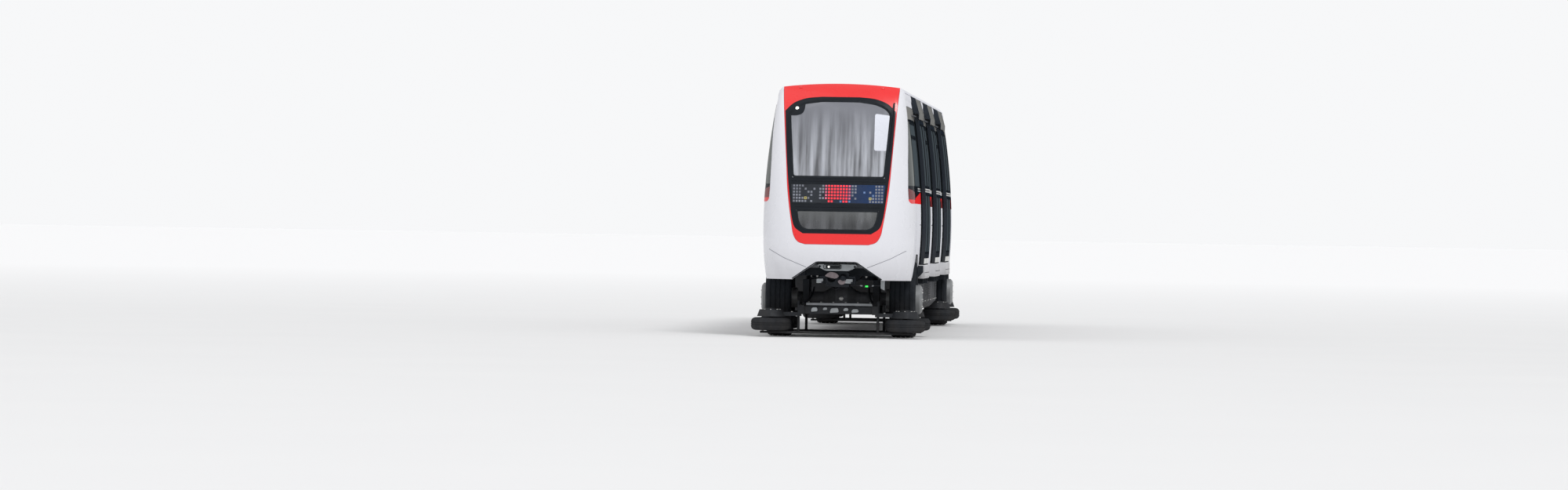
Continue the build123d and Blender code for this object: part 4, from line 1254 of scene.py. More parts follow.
class METRO_OT_sides(bpy.types.Operator):
    """Finish the walls: glazing band, red band, belt rails, cantrail panels and gaskets."""

    bl_idname = "metro.sides"
    bl_label = "Sides"

    def execute(self, context):
        look = palette(context)
        edges = [MASK_X]
        for x in DOOR_XS:
            edges += [x + APERTURE / 2, x - APERTURE / 2]
        edges.append(REAR_X + WALL_THICK)
        spans = [(edges[i + 1], edges[i]) for i in range(0, len(edges), 2)]
        for name, side in SIDES.items():
            dress([f"side_wall_{name}"], look["white"])
            dress([f"side_panes_{name}"], look["glass"])
            meshes = {row[0]: bmesh.new() for row in SIDE_PIECES}
            for index, span in enumerate(spans):
                self.panel(context, meshes, side, span, index == 0, index == len(DOOR_XS))
            for key, title, finish, slot, edge in SIDE_PIECES:
                piece(f"{title}_{name}", meshes[key], look[finish], "car", slot, **edge)
            self.arches(look, name, side)
            self.linings(look, name, side)
        return {"FINISHED"}

    def panel(self, context, meshes, side, span, first, last):
        """What one stretch of wall between two doorways carries."""
        sizes = context.scene.metro_sizes
        place = on_side(side)
        x0 = span[0] + (0 if last else LAP + 0.004)
        x1 = span[1] - (0 if first else LAP + 0.004)
        low = span[0] + WINDOW_MARGIN + (0 if last else LAP)
        high = span[1] - WINDOW_MARGIN - (0 if first else LAP)
        self.window(meshes, place, sizes.gasket, (x0, x1), low, high)
        if first:
            self.front_colours(meshes, place, on_flank(side), x0, x1)
        else:
            span_slab(meshes["dark"], place, (x0, x1), (BAND_HIGH, BELT_Z - 0.012), SUNK, 0.0012, 2)
        facet = None
        if last:
            lean = (x0 - x1) * 0.42
            far = (x1 + lean, BAND_LOW + 0.066)
            base, top, facet = "maroon", "red", [(x1, BAND_LOW), far, far, (x1, BAND_HIGH)]
        elif not first:
            middle, near = (x0 + x1) / 2, x0 + 0.2
            base, top = "red", "maroon"
            facet = [(x0, BAND_LOW), (middle, BAND_LOW), (near, BAND_HIGH), (x0, BAND_HIGH)]
            span_slab(meshes["seams"], place, (x0, x1), (0.858, 0.862), SUNK, 0.0008)
        if facet:
            span_slab(meshes[base], place, (x0, x1), (BAND_LOW, BAND_HIGH), SUNK, 0.0012, 3)
            slab(meshes[top], place, facet, SUNK, 0.0017, 3)

        reach = (x0, x0 + 0.75) if first else (x0, x1)
        belt, bead = (BELT_Z, BELT_Z + sizes.belt_high), (BELT_Z - 0.028, BELT_Z - 0.012)
        span_slab(meshes["belts"], place, reach, belt, SUNK, sizes.belt_proud, 2)
        span_slab(meshes["beads"], place, reach, bead, SUNK, sizes.belt_proud * 0.6, 2)
        span_slab(meshes["cant"], place, (x0, x1), (CANT_LOW + 0.003, CANT_HIGH), SUNK, 0.003, 3)
        span_slab(meshes["dark"], place, (x0, x1), (CANT_HIGH, CANT_HIGH + 0.005), SUNK, 0.0035)
        slot_x = x0 + 0.10 if first else x1 - 0.24 if last else x0 + 0.06
        span_slab(meshes["dark"], place, (slot_x, slot_x + 0.18), (1.474, 1.486), SUNK, 0.0012)
        for x in (x0 + 0.02, FRONT_SEAM_X if first else x1 - 0.02):
            seam = (x - 0.0015, x + 0.0015), (0.82, BAND_LOW - 0.01)
            span_slab(meshes["seams"], place, *seam, SUNK, 0.0007, 8)

    def window(self, meshes, place, gasket, x_span, low, high):
        """The glazing band of one stretch, with its window's gasket and hinged upper pane."""
        hole = (low - 0.001, high + 0.001), (WINDOW_LOW - 0.001, WINDOW_HIGH + 0.001)
        xs = [x_span[0], *hole[0], x_span[1]]
        zs = cuts(BELT_Z + 0.014, *hole[1], CANT_LOW)
        pierced(meshes["glazing"], place, xs, zs, cells_in(xs, zs, *hole), SUNK, 0.0016)
        outline = divided(rounded(rect(low, high, WINDOW_LOW, WINDOW_HIGH), 0.07), 0.08)
        band(meshes["gaskets"], place, outline, 0.016, -gasket, -0.006, 0.004)
        bar = (low + 0.02, high - 0.02), (HOPPER_Z - 0.014, HOPPER_Z + 0.014)
        span_slab(meshes["hoppers"], place, *bar, -0.006, 0.0035)
        corners = rect(low + 0.03, high - 0.03, HOPPER_Z + 0.02, WINDOW_HIGH - 0.03)
        band(meshes["hoppers"], place, divided(rounded(corners, 0.04), 0.08), 0.0, -0.014, -0.006, 0.002)

    def front_colours(self, meshes, place, flank, x0, x1):
        """The bands of the first stretch, which run forward on the mask's side."""
        span_slab(meshes["dark"], place, (x0, x1), (1.80, BELT_Z + 0.016), SUNK, 0.0012, 3)
        foot = BAND_LOW + 0.018
        wedge = [(x0, foot), (x1, foot), (x1, 1.819), (x0, 1.908)]
        slab(meshes["red"], place, wedge, SUNK, 0.0018, 3, 2)
        low_zs = [1.752, 1.756, 1.762, 1.770, 1.780, 1.790, 1.805]
        seam = MASK_X + SUNK
        top_z, slope = 1.945, 4.6

        def facet_x(z):
            return max(MASK_X, 6.226 - (top_z - z) * slope)

        pane_zs = cuts(WINDOW_LOW + 0.02, WINDOW_HIGH - 0.02, step=0.03)
        rows = (
            ("red", lambda z: seam, low_zs, SUNK, 0.0036),
            ("glazing", lambda z: seam, cuts(BAND_FRONT_Z, CANT_LOW, step=0.03), SUNK, 0.0028),
            ("maroon", facet_x, cuts(BAND_FRONT_Z, 1.943, step=0.02), 0.001, 0.0044),
            # The panes film stands for the flank's glass, with painted reflection streaks
            ("panes", lambda z: MASK_X + 0.002, pane_zs, 0.001, 0.0042),
            ("cant", lambda z: seam, cuts(CANT_LOW + 0.003, CANT_HIGH, step=0.02), SUNK, 0.0036),
        )
        for key, start, zs, low, high in rows:
            flank_film(meshes[key], flank, start, zs, low, high)

    def linings(self, look, name, side):
        """Dark linings on the edges of the door openings of one side."""
        plates = bmesh.new()
        place = on_side(side)
        foot = 0.952
        for x in DOOR_XS:
            for way in WAYS.values():
                edge = x + way * APERTURE / 2
                inner = (edge - way * 0.003, edge + way * 0.001)
                span_slab(plates, place, inner, (foot, 2.878), -0.058, 0.0012, 16)
                span_slab(plates, place, (edge, edge + way * 0.079), (foot, CANT_LOW), SUNK, 0.0012, 16)
        piece(f"doorway_linings_{name}", plates, look["lining_dark"], "car", "dark_paint", smooth=False)

    def arches(self, look, name, side):
        """Rubber lips round the wheel arches of one side."""
        lips = bmesh.new()
        place = on_side(side)
        top, foot_reach, top_reach = 1.085, 0.61, 0.19
        for axle_x in AXLE_XS.values():
            line = [(axle_x - foot_reach, SILL_Z), (axle_x - top_reach, top)]
            line += [(axle_x + top_reach, top), (axle_x + foot_reach, SILL_Z)]
            points = []
            for start, stop in zip(line, line[1:]):
                points += [Vector(start).lerp(Vector(stop), k / 8) for k in range(8)]
            tube(lips, [place(x, z, 0.001) for x, z in points + line[-1:]], 0.006, 8)
        piece(f"arch_lips_{name}", lips, look["rubber"], "car", "black_trim")


class METRO_OT_doors(bpy.types.Operator):
    """Replace each door leaf by its frame, panes, gaskets, belt rail and kick plate."""

    bl_idname = "metro.doors"
    bl_label = "Door leaves"

    def execute(self, context):
        look = palette(context)
        for number in DOORS:
            for side_name, side in SIDES.items():
                for way_name, way in WAYS.items():
                    body = f"door_{number}_{side_name}_{way_name}"
                    self.leaf(look, body, side, way)
                    self.hangers(look, body, side, way)
        return {"FINISHED"}

    def leaf(self, look, body, side, way):
        """One leaf, riding on its own body."""
        low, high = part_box(f"{body}_leaf")
        x0, x1 = low.x, high.x
        glazed = (x0 + LEAF_FRAME, x1 - LEAF_FRAME)
        place = on_side(side)
        panes = [(LEAF_LOW + LEAF_KICK, LEAF_BELT[0]), (LEAF_BELT[1], LEAF_HIGH - LEAF_FRAME)]
        stiles = bmesh.new()
        xs = [x0, *glazed, x1]
        zs = cuts(LEAF_LOW, *panes[0], *panes[1], LEAF_HIGH)
        holes = cells_in(xs, zs, glazed, panes[0]) | cells_in(xs, zs, glazed, panes[1])
        pierced(stiles, place, xs, zs, holes, LEAF_IN, LEAF_OUT)
        leaf_frame = piece(f"{body}_frame", stiles, look["leaf"], body, "door_paint", bevel=0.003)
        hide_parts(f"{body}_leaf")

        glazing, rubbers = bmesh.new(), bmesh.new()
        for z0, z1 in panes:
            cells = max(2, math.ceil((z1 - z0) / 0.1))
            spans = (glazed[0] - 0.002, glazed[1] + 0.002), (z0 - 0.002, z1 + 0.002)
            span_slab(glazing, place, *spans, LEAF_OUT - 0.014, LEAF_OUT - 0.006, cells)
            outline = divided(rounded(rect(*glazed, z0, z1), 0.035), 0.08)
            band(rubbers, place, outline, 0.008, -0.013, LEAF_OUT - 0.016, LEAF_OUT + 0.002)
            band(rubbers, place, outline, 0.006, -0.010, LEAF_IN - 0.002, LEAF_IN + 0.012)
        meeting = (x0, x0 + 0.014) if way > 0 else (x1 - 0.014, x1)
        tall = (LEAF_LOW + 0.005, LEAF_HIGH - 0.005)
        span_slab(rubbers, place, meeting, tall, LEAF_OUT + SUNK, LEAF_OUT + 0.002, 16)
        foot = (x0 + 0.004, x1 - 0.004), (LEAF_LOW - 0.003, LEAF_LOW + 0.004)
        span_slab(rubbers, place, *foot, LEAF_IN + 0.006, LEAF_OUT - 0.006)
        piece(f"{body}_panes", glazing, look["glass"], body, "glass")
        piece(f"{body}_rubbers", rubbers, look["rubber"], body, "black_trim", bevel=0.001)

        metal = bmesh.new()
        strips = (
            (0.006, BELT_Z, BELT_Z + 0.018, 0.008),
            (0.010, BELT_Z - 0.028, BELT_Z - 0.012, 0.005),
            (0.010, LEAF_LOW + 0.008, LEAF_LOW + 0.078, 0.002),
        )
        for inset, z0, z1, proud in strips:
            span_slab(metal, place, (x0 + inset, x1 - inset), (z0, z1), LEAF_OUT + SUNK, LEAF_OUT + proud, 2)
        grab = x0 + 0.075 if way > 0 else x1 - 0.075
        stile = grab - way * 0.03
        handle = ((stile, 1.50), (grab, 1.51), (grab, 1.62), (grab, 1.73), (stile, 1.74))
        tube(metal, [place(x, z, LEAF_IN + 0.010) for x, z in handle], 0.006, 8)
        piece(f"{body}_metal", metal, look["silver"], body, "rail_metal", bevel=0.002)

    def hangers(self, look, body, side, way):
        """The hangers of one leaf on its rail, their covers and the foot in the threshold."""
        low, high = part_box(f"{body}_leaf")
        rail_low, rail_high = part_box("door_rails")
        plate_y = rail_high.y + 0.005
        start = low.x if way > 0 else high.x
        near, far = 0.0575, 0.5575
        hang = bmesh.new()
        for reach in (near, far):
            middle = start + way * reach
            span = (middle - 0.035, middle + 0.035)
            box_mesh(hang, span, (side * plate_y, side * (plate_y + 0.008)), (LEAF_HIGH - 0.006, high.z))
            box_mesh(hang, span, (side * (plate_y - 0.021), side * plate_y), (high.z - 0.012, high.z))
        middle = start + way * near
        foot = (side * 0.982, side * 0.988)
        box_mesh(hang, (middle - 0.02, middle + 0.02), foot, (low.z, LEAF_LOW + 0.004))

        covers = bmesh.new()
        cover_low, cover_high = LEAF_HIGH - 0.004, 2.944
        gap_low, gap_high = rail_low.z - 0.006, rail_high.z + 0.006
        for edge in (low.x, high.x - 0.012):
            rows = (
                (plate_y + 0.001, plate_y + 0.015, cover_low, cover_high),
                (side_y(2.885) + 0.010, plate_y + 0.003, cover_low, gap_low),
                (side_y(2.93) + 0.010, plate_y + 0.003, gap_high, cover_high),
            )
            for y0, y1, z0, z1 in rows:
                box_mesh(covers, (edge, edge + 0.012), (side * y0, side * y1), (z0, z1))
        piece(f"{body}_hanger_covers", covers, look["leaf"], body, "door_paint")
        piece(f"{body}_hangers", hang, look["box"], body, "rail_metal", bevel=0.001)


class METRO_OT_headers(bpy.types.Operator):
    """Finish the door headers, rails and thresholds, with cheeks, screws and treads."""

    bl_idname = "metro.headers"
    bl_label = "Headers and thresholds"

    def execute(self, context):
        look = palette(context)
        dress(["door_headers"], look["header"])
        dress(["door_rails"], look["box"])
        dress(["door_thresholds"], look["cream"])
        dress(["sill_brackets"], look["steel"])
        cheeks, screws, treads, brackets, ribs = (bmesh.new() for _ in range(5))
        for x in DOOR_XS:
            for side in SIDES.values():
                self.header(cheeks, ribs, x, side)
                self.threshold(screws, treads, brackets, x, side)
        piece("header_cheeks", cheeks, look["leaf"], "car", "dark_paint", bevel=0.003)
        piece("header_ribs", ribs, look["header"], "car", "header_grey", bevel=0.001)
        piece("threshold_screws", screws, look["machined"], "car", "grey_metal")
        piece("threshold_treads", treads, look["rubber"], "car", "black_trim", bevel=0.001)
        piece("threshold_brackets", brackets, look["steel"], "car", "frame_steel", bevel=0.004)
        return {"FINISHED"}

    def threshold(self, screws, treads, brackets, x, side):
        """The screws, treads and brackets of the threshold under one doorway."""
        screw_y, screw_z, tread_pitch = 1.038, 0.80, 0.078
        places = [Vector((x + reach, side * screw_y, screw_z)) for reach in (-0.62, -0.3, 0.0, 0.3, 0.62)]
        bolts(screws, places, "Y", side, 0.009, 0.005)
        for at in [x + index * tread_pitch for index in range(-8, 9)]:
            box_mesh(treads, (at - 0.014, at + 0.014), (side * 0.998, side * 1.028), (0.9495, 0.9525))
        box_mesh(treads, (x - 0.72, x + 0.72), (side * 1.036, side * 1.0395), (0.845, 0.851))
        for at in (x - 0.56, x, x + 0.56):
            box_mesh(brackets, (at - 0.03, at + 0.03), (side * 0.90, side * 1.02), (0.70, 0.772))

    def header(self, cheeks, ribs, x, side):
        """The end cheeks and the ribs of the header over one doorway."""
        (foot_y, foot_z), (_, bend_z), (edge_y, edge_z), (top_y, top_z) = HEADER
        step_z = 2.952
        section = [
            (foot_y + 0.005, step_z), (foot_y + 0.005, bend_z), (edge_y + 0.006, edge_z + 0.004),
            (top_y, top_z + 0.006), (0.80, 3.10), (0.855, step_z),
        ]
        for way in WAYS.values():
            edge = x + way * PORTAL / 2
            span = (edge - way * 0.004, edge + way * 0.016)
            grid(cheeks, [[Vector((at, side * y, z)) for y, z in section] for at in span])
            across = (side * (foot_y - 0.006), side * (foot_y + 0.005))
            box_mesh(cheeks, span, across, (foot_z - 0.001, step_z))
        first_rib, rib_pitch, rib_half = 0.08, 0.1, 0.011
        for index in range(14):
            at = x - PORTAL / 2 + first_rib + index * rib_pitch
            across = (side * (foot_y - 0.002), side * (foot_y + 0.0055))
            box_mesh(ribs, (at - rib_half, at + rib_half), across, (foot_z + 0.003, bend_z + 0.004))


class METRO_OT_roof(bpy.types.Operator):
    """Finish the roof, with its seams and gutters."""

    bl_idname = "metro.roof"
    bl_label = "Roof"

    def execute(self, context):
        look = palette(context)
        dress(["roof", "rear_wall"], look["white"])
        tree = mesh_tree(["roof"])
        above = 4

        def on_roof(x, y, out):
            point, normal = cast(tree, (x, y, above), (0, 0, -1))
            return point + normal * out

        seams, gutters = bmesh.new(), bmesh.new()
        half, reach, first_x, pitch = 0.004, 0.78, MASK_X - 0.03, 1.72
        for x in [first_x - index * pitch for index in range(8)]:
            if x > REAR_X + 0.2:
                ys = spaced(-reach, reach, 96)
                grid(seams, [hoop(on_roof, (x - half, y), (x + half, y), SUNK, 0.0005) for y in ys])
        section = ((3.186, SUNK), (3.186, 0.008), (3.198, 0.012), (3.204, 0.006), (3.204, SUNK))
        for side in SIDES.values():
            place = on_side(side)
            xs = spaced(REAR_X + 0.1, MASK_X - 0.02, 40)
            grid(gutters, [[place(x, z, out) for z, out in section] for x in xs])
        piece("roof_seams", seams, look["header"], "car", "header_grey", smooth=False)
        piece("roof_gutters", gutters, look["white"], "car", "body_paint")
        return {"FINISHED"}


class METRO_OT_interior(bpy.types.Operator):
    """Finish the cabin: floor, ceiling, lamps, poles and hand rails."""

    bl_idname = "metro.interior"
    bl_label = "Cabin"

    def execute(self, context):
        look = palette(context)
        dress(["floor"], look["floor"])
        dress(["wheel_houses"], look["shell"])
        dress(["grab_poles"], look["pole"])
        start, stop = REAR_X + 0.12, MASK_X - 0.1
        ceiling, lamps, rails, collars = (bmesh.new() for _ in range(4))
        half, thick, edge_z, rise = 0.6, 0.012, 3.075, 0.055
        line = [(y, edge_z + rise * (1 - (y / half) ** 2)) for y in spaced(-half, half, 14)]
        rows = []
        for x in spaced(start, stop, 24):
            rows.append([(x, y, z) for y, z in line] + [(x, y, z + thick) for y, z in reversed(line)])
        grid(ceiling, rows)
        piece("ceiling_panels", ceiling, look["ceiling"], "car", "body_paint")

        lamp_length, lamp_pitch, lamp_y, lamp_z = 0.92, 1.02, 0.42, 3.098
        hanger_pitch, rail_y, rail_z = 1.32, 0.47, 2.62
        for side in SIDES.values():
            for index in range(11):
                x = stop - 0.2 - index * lamp_pitch
                rows = []
                for angle in spaced(0, math.pi, 8):
                    y, z = side * (lamp_y + 0.045 * math.cos(angle)), lamp_z - 0.022 * math.sin(angle)
                    rows.append([(x, y, z), (x - lamp_length, y, z)])
                grid(lamps, rows, around=False)
            tube(rails, [(x, side * rail_y, rail_z) for x in spaced(start, stop, 30)], 0.016, 12)
            for index in range(9):
                x = start + 0.4 + index * hanger_pitch
                hanger = [(x, side * rail_y, rail_z), (x, side * 0.49, 2.86), (x, side * 0.50, 3.09)]
                tube(rails, hanger, 0.009, 10)
        piece("ceiling_lamps", lamps, look["lamp"], "car", "display")
        piece("hand_rails", rails, look["pole"], "car", "pole_metal")

        poles = [(x, 0.0) for x in DOOR_XS]
        poles += [(NOSE_X - back, side * 0.395) for back in (1.25, 4.8, 8.3, 11.8) for side in SIDES.values()]
        foot = [(0, 0.0175), (0, 0.034), (0.006, 0.034), (0.022, 0.022), (0.022, 0.0175)]
        sleeve = [(0, 0.0175), (0, 0.026), (0.05, 0.026), (0.05, 0.0175)]
        for x, y in poles:
            lathe(collars, foot, (x, y, FLOOR_Z), "Z", 24)
            lathe(collars, sleeve, (x, y, 1.62), "Z", 20)
        piece("pole_collars", collars, look["machined"], "car", "pole_metal")
        return {"FINISHED"}


class METRO_OT_seats(bpy.types.Operator):
    """Replace the seats by moulded shells with padded seats and backs."""

    bl_idname = "metro.seats"
    bl_label = "Seats"

    def execute(self, context):
        look = palette(context)
        shells, pads, piping = bmesh.new(), bmesh.new(), bmesh.new()
        for back, side, way in SEATS:
            self.seat(shells, pads, piping, NOSE_X - back, side, way)
        made = piece("seat_shells", shells, look["shell"], "car", "seat_red", bevel=0.004)
        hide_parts("seats")
        padded = piece("seat_pads", pads, look["cloth"], "car", "seat_red", angle=80)
        piece("seat_piping", piping, look["shell"], "car", "seat_red")
        return {"FINISHED"}

    def seat(self, shells, pads, piping, x, side, way):
        """One seat: its shell and foot, its two pads and their piping."""
        seat_z = FLOOR_Z + SEAT_HIGH
        wide, wall = SEAT_WIDE, SEAT_WALL_Y
        y = side * (wall - wide / 2)
        profile = [
            (0.0, -0.058), (0.40, -0.058), (0.43, -0.040), (0.43, -0.022), (0.09, -0.030),
            (0.070, 0.0), (0.024, 0.438), (-0.020, 0.438), (-0.012, 0.0),
        ]
        rows = []
        for i, at in enumerate(spaced(*sorted((side * (wall - wide), side * wall)), 6)):
            lift = 0.012 * abs(i / 3 - 1) ** 3
            row = []
            for u, v in profile:
                row.append((x + way * (u + (lift if u < 0.08 else 0)), at, seat_z + v + (lift if v < 0 else 0)))
            rows.append(row)
        grid(shells, rows)

        over_axle = min(abs(x + way * 0.19 - axle) for axle in AXLE_XS.values()) < HOUSE_HALF
        across = (side * (wall - 0.29), side * (wall - 0.14))
        foot = (HOUSE_TOP_Z if over_axle else FLOOR_Z, seat_z - 0.055)
        box_mesh(shells, (x + way * 0.06, x + way * 0.33), across, foot)

        slope = 0.105
        cushions = (
            ((0.255, -0.012), (way, 0, 0), (0, 0, 1), 0.165, 0.205, 0.036),
            ((0.068, 0.235), (-way * slope, 0, 1), (way, 0, slope), 0.185, 0.200, 0.034),
        )
        for (ahead, lift), along, normal, half_a, half_b, thick in cushions:
            along, normal = Vector(along).normalized(), Vector(normal).normalized()
            pad = (Vector((x + way * ahead, y, seat_z + lift)), along, Vector((0, 1, 0)))
            cushion(pads, *pad, normal, half_a, half_b, thick)
            corners = rounded(rect(-1, 1, -1, 1), 0.06, 3)
            points = [pad_edge(*pad, half_a, half_b, a, b) for a, b in corners]
            tube(piping, points, 0.0035, 6, closed=True)


class METRO_OT_wheels(bpy.types.Operator):
    """Replace the tyres by treaded ones and finish wheels and guide wheels."""

    bl_idname = "metro.wheels"
    bl_label = "Wheels and tyres"

    def execute(self, context):
        look = palette(context)
        for end in ENDS:
            for side_name, side in SIDES.items():
                self.running(context, look, end, side_name, side)
                for way_name in WAYS:
                    self.guide(look, end, side_name, way_name)
        return {"FINISHED"}

    def running(self, context, look, end, side_name, side):
        """One running wheel with its tyre."""
        deep = context.scene.metro_sizes.groove_deep
        body = f"{end}_{side_name}_running_wheel"
        low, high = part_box(f"{end}_{side_name}_tyre")
        middle = (low + high) / 2
        radius, half = (high.z - low.z) / 2, (high.y - low.y) / 2
        flank = [
            (-half + 0.046, 0.286), (-half + 0.012, 0.312), (-half + 0.001, 0.352), (-half, 0.395),
            (-half + 0.003, 0.398), (-half + 0.002, 0.432), (-half + 0.006, 0.462),
            (-half + 0.022, radius - 0.014), (-half + 0.045, radius - 0.003),
        ]
        rows = list(flank)
        for edge in (-0.094, -0.030, 0.030, 0.094):
            rows += [(edge - 0.008, radius - 0.0005), (edge - 0.006, radius - deep)]
            rows += [(edge + 0.006, radius - deep), (edge + 0.008, radius - 0.0005)]
        rows += [(-along, r) for along, r in reversed(flank)]
        tyre = bmesh.new()
        lathe(tyre, rows, middle, "Y", 96)
        made = piece(f"{end}_{side_name}_treaded_tyre", tyre, look["tyre"], body, "tyre", angle=30)
        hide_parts(f"{end}_{side_name}_tyre")
        dress([f"{end}_{side_name}_wheel"], look["rim"])
        nuts = bmesh.new()
        rows = ((0.0595, 0.226, 10, 0.017, 0.026), (0.2395, 0.128, 8, 0.011, 0.009))
        for out, circle, count, radius, high in rows:
            centre = (middle.x, side * (AXLE_Y + out), middle.z)
            bolts(nuts, circle_places(centre, "Y", circle, count), "Y", side, radius, high)
        piece(f"{end}_{side_name}_wheel_nuts", nuts, look["machined"], body, "wheel_steel")

    def guide(self, look, end, side_name, way_name):
        """One guide wheel: its tyre and its hub."""
        node = f"{end}_{side_name}_guide_wheel_{way_name}"
        body = f"{end}_{side_name}_guide_{way_name}"
        low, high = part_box(node)
        middle = (low + high) / 2
        radius, half = (high.x - low.x) / 2, (high.z - low.z) / 2
        rows = [
            (-half + 0.012, 0.150), (-half + 0.001, 0.205), (-half + 0.006, radius - 0.034),
            (-half + 0.024, radius - 0.010), (-half + 0.050, radius - 0.001), (-0.018, radius),
            (-0.015, radius - 0.005), (-0.009, radius - 0.005), (-0.006, radius),
        ]
        tyre = bmesh.new()
        lathe(tyre, rows + [(-along, r) for along, r in reversed(rows)], middle, "Z", 72)
        made = piece(f"{node}_tyre", tyre, look["tyre"], body, "tyre", angle=32)
        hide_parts(node)
        rows = [
            (-half + 0.018, 0.152), (-half + 0.02, 0.138), (-0.03, 0.128), (-0.028, 0.07),
            (-half + 0.004, 0.062), (-half + 0.003, 0.0335),
        ]
        hub = bmesh.new()
        lathe(hub, rows + [(-along, r) for along, r in reversed(rows)], middle, "Z", 48)
        for out in (1, -1):
            centre = (middle.x, middle.y, middle.z + out * 0.028)
            bolts(hub, circle_places(centre, "Z", 0.098, 8), "Z", out, 0.010, 0.012)
        piece(f"{node}_hub", hub, look["rim"], body, "wheel_steel", bevel=0.001)


# A hose of the running gear: ahead of the axle, across and height
GEAR_HOSE = [
    (0.1, 0.36, 0.64), (0.24, 0.37, 0.56), (0.42, 0.40, 0.49), (0.62, 0.43, 0.462), (0.78, 0.45, 0.432),
]


class METRO_OT_running_gear(bpy.types.Operator):
    """Finish the guide frames and axles, with their caps, bolts, bars and hoses."""

    bl_idname = "metro.running_gear"
    bl_label = "Running gear"

    def execute(self, context):
        look = palette(context)
        for end, axle_x in AXLE_XS.items():
            body = f"{end}_steering"
            dress([f"{end}_guide_frame"], look["steel"])
            dress([f"{end}_axle"], look["casting"])
            self.pale_pieces(look, end, axle_x, WAYS[end])
            fine, dark, hoses = bmesh.new(), bmesh.new(), bmesh.new()
            for side in SIDES.values():
                for way in WAYS.values():
                    self.corner(fine, dark, axle_x + way * 0.80, side)
                tube(hoses, [(axle_x + x, side * y, z) for x, y, z in GEAR_HOSE], 0.012, 10)
            for way in WAYS.values():
                places = [Vector((axle_x + way * 0.56, y, 0.449)) for y in spaced(-0.40, 0.40, 5)]
                bolts(fine, places, "Z", 1, 0.012, 0.010)
            bolts(fine, [Vector((axle_x + 0.186, 0, 0.5))], "X", 1, 0.03, 0.012)
            piece(f"{end}_gear_bolts", fine, look["machined"], body, "grey_metal")
            piece(f"{end}_guide_caps", dark, look["steel"], body, "frame_steel")
            piece(f"{end}_gear_hoses", hoses, look["hose"], body, "black_trim")
        return {"FINISHED"}

    def corner(self, fine, dark, x, side):
        """The cap over one guide wheel's spindle, and the bolts round it."""
        place = (x, side * 0.87, 0.349)
        cap = [(0, 0), (0, 0.082), (0.016, 0.074), (0.022, 0.05), (0.024, 0)]
        lathe(dark, cap, place, "Z", 36, closed=False)
        bolts(fine, circle_places(place, "Z", 0.115, 8), "Z", 1, 0.010, 0.009)
        for y, z, reach in ((0.98, 0.071, 0.045), (0.60, 0.321, 0.035)):
            places = [Vector((x + dx, side * y, z)) for dx in (-reach, reach)]
            bolts(fine, places, "Z", 1, 0.012, 0.010)

    def pale_pieces(self, look, end, axle_x, way):
        """The pale castings and the pale bar across the outer end of a guide frame."""
        body = f"{end}_steering"
        bars, lumps = bmesh.new(), bmesh.new()
        span = (axle_x + way * 0.6005, axle_x + way * 0.6035)
        box_mesh(bars, span, (-0.43, 0.43), (0.412, 0.443))
        rows = (
            (-0.31, 0.045, 0.360, 0.030), (-0.17, 0.03, 0.372, 0.018), (-0.05, 0.06, 0.352, 0.034),
            (0.10, 0.035, 0.366, 0.022), (0.22, 0.05, 0.350, 0.026),
        )
        for y, half, z, tall in rows:
            corners = [
                (y - half, z - tall), (y + half, z - tall * 0.7),
                (y + half * 0.8, z + tall), (y - half * 0.7, z + tall * 0.8),
            ]
            patch(lumps, ahead_of(axle_x + way * 0.8402, way), rounded(corners, 0.02, 3), 0.0, 0.012, 2)
        piece(f"{end}_pale_castings", lumps, look["plate"], body, "grey_metal", bevel=0.002)
        piece(f"{end}_pale_bars", bars, look["beam"], body, "grey_metal", bevel=0.002)


class METRO_OT_underframe(bpy.types.Operator):
    """Finish the underframe and its equipment boxes, with lids, catches, louvres and pipes."""

    bl_idname = "metro.underframe"
    bl_label = "Underframe"

    def execute(self, context):
        look = palette(context)
        dress(["underframe"], look["steel"])
        dress(["equipment_boxes"], look["box"])
        lids, metal, pipes = bmesh.new(), bmesh.new(), bmesh.new()
        for number, (back, length) in enumerate(BOXES):
            start = NOSE_X - back - length + 0.03
            count = 3 if length > 2 else 2
            wide = (length - 0.06) / count
            for side in SIDES.values():
                for index in range(count):
                    low, high = start + index * wide + 0.015, start + (index + 1) * wide - 0.015
                    self.lid(lids, metal, side, low, high, louvred=(number + index) % 2)
        pipe_z, end_z = 0.786, 0.79
        for y in (0.34, -0.30, -0.37):
            xs = spaced(NOSE_X - 0.95, NOSE_X - 12.25, 24)
            points = [(x, y, end_z if x in (xs[0], xs[-1]) else pipe_z) for x in xs]
            tube(pipes, points, 0.013, 10)
        piece("box_lids", lids, look["box"], "car", "frame_steel", bevel=0.002)
        piece("box_catches", metal, look["machined"], "car", "grey_metal", bevel=0.002)
        piece("brake_pipes", pipes, look["machined"], "car", "grey_metal")
        return {"FINISHED"}

    def lid(self, lids, metal, side, low, high, louvred):
        """One lid of an equipment box, with its catches and, on some, louvres."""
        def face(x, z, out):
            return Vector((x, side * (BOX_FACE_Y + out), z))

        z0, z1, rim = 0.42, 0.775, 0.02
        first_slat, slat_pitch = 0.50, 0.032
        band(lids, face, rounded(rect(low, high, z0, z1), rim, 3), 0.0, -rim, -0.002, 0.010)
        span_slab(lids, face, (low + rim, high - rim), (z0 + rim, z1 - rim), SUNK, 0.004)
        if louvred:
            for z in [first_slat + k * slat_pitch for k in range(7)]:
                slat = [(0.003, z), (0.016, z - 0.008), (0.016, z - 0.003), (0.003, z + 0.010)]
                grid(lids, [[face(x, p, q) for q, p in slat] for x in (low + 0.06, high - 0.06)])
        for x in (low + 0.08, high - 0.08):
            span_slab(metal, face, (x - 0.018, x + 0.018), (0.745, 0.782), 0.009, 0.019)
            span_slab(metal, face, (x - 0.022, x + 0.022), (0.414, 0.432), 0.009, 0.016)


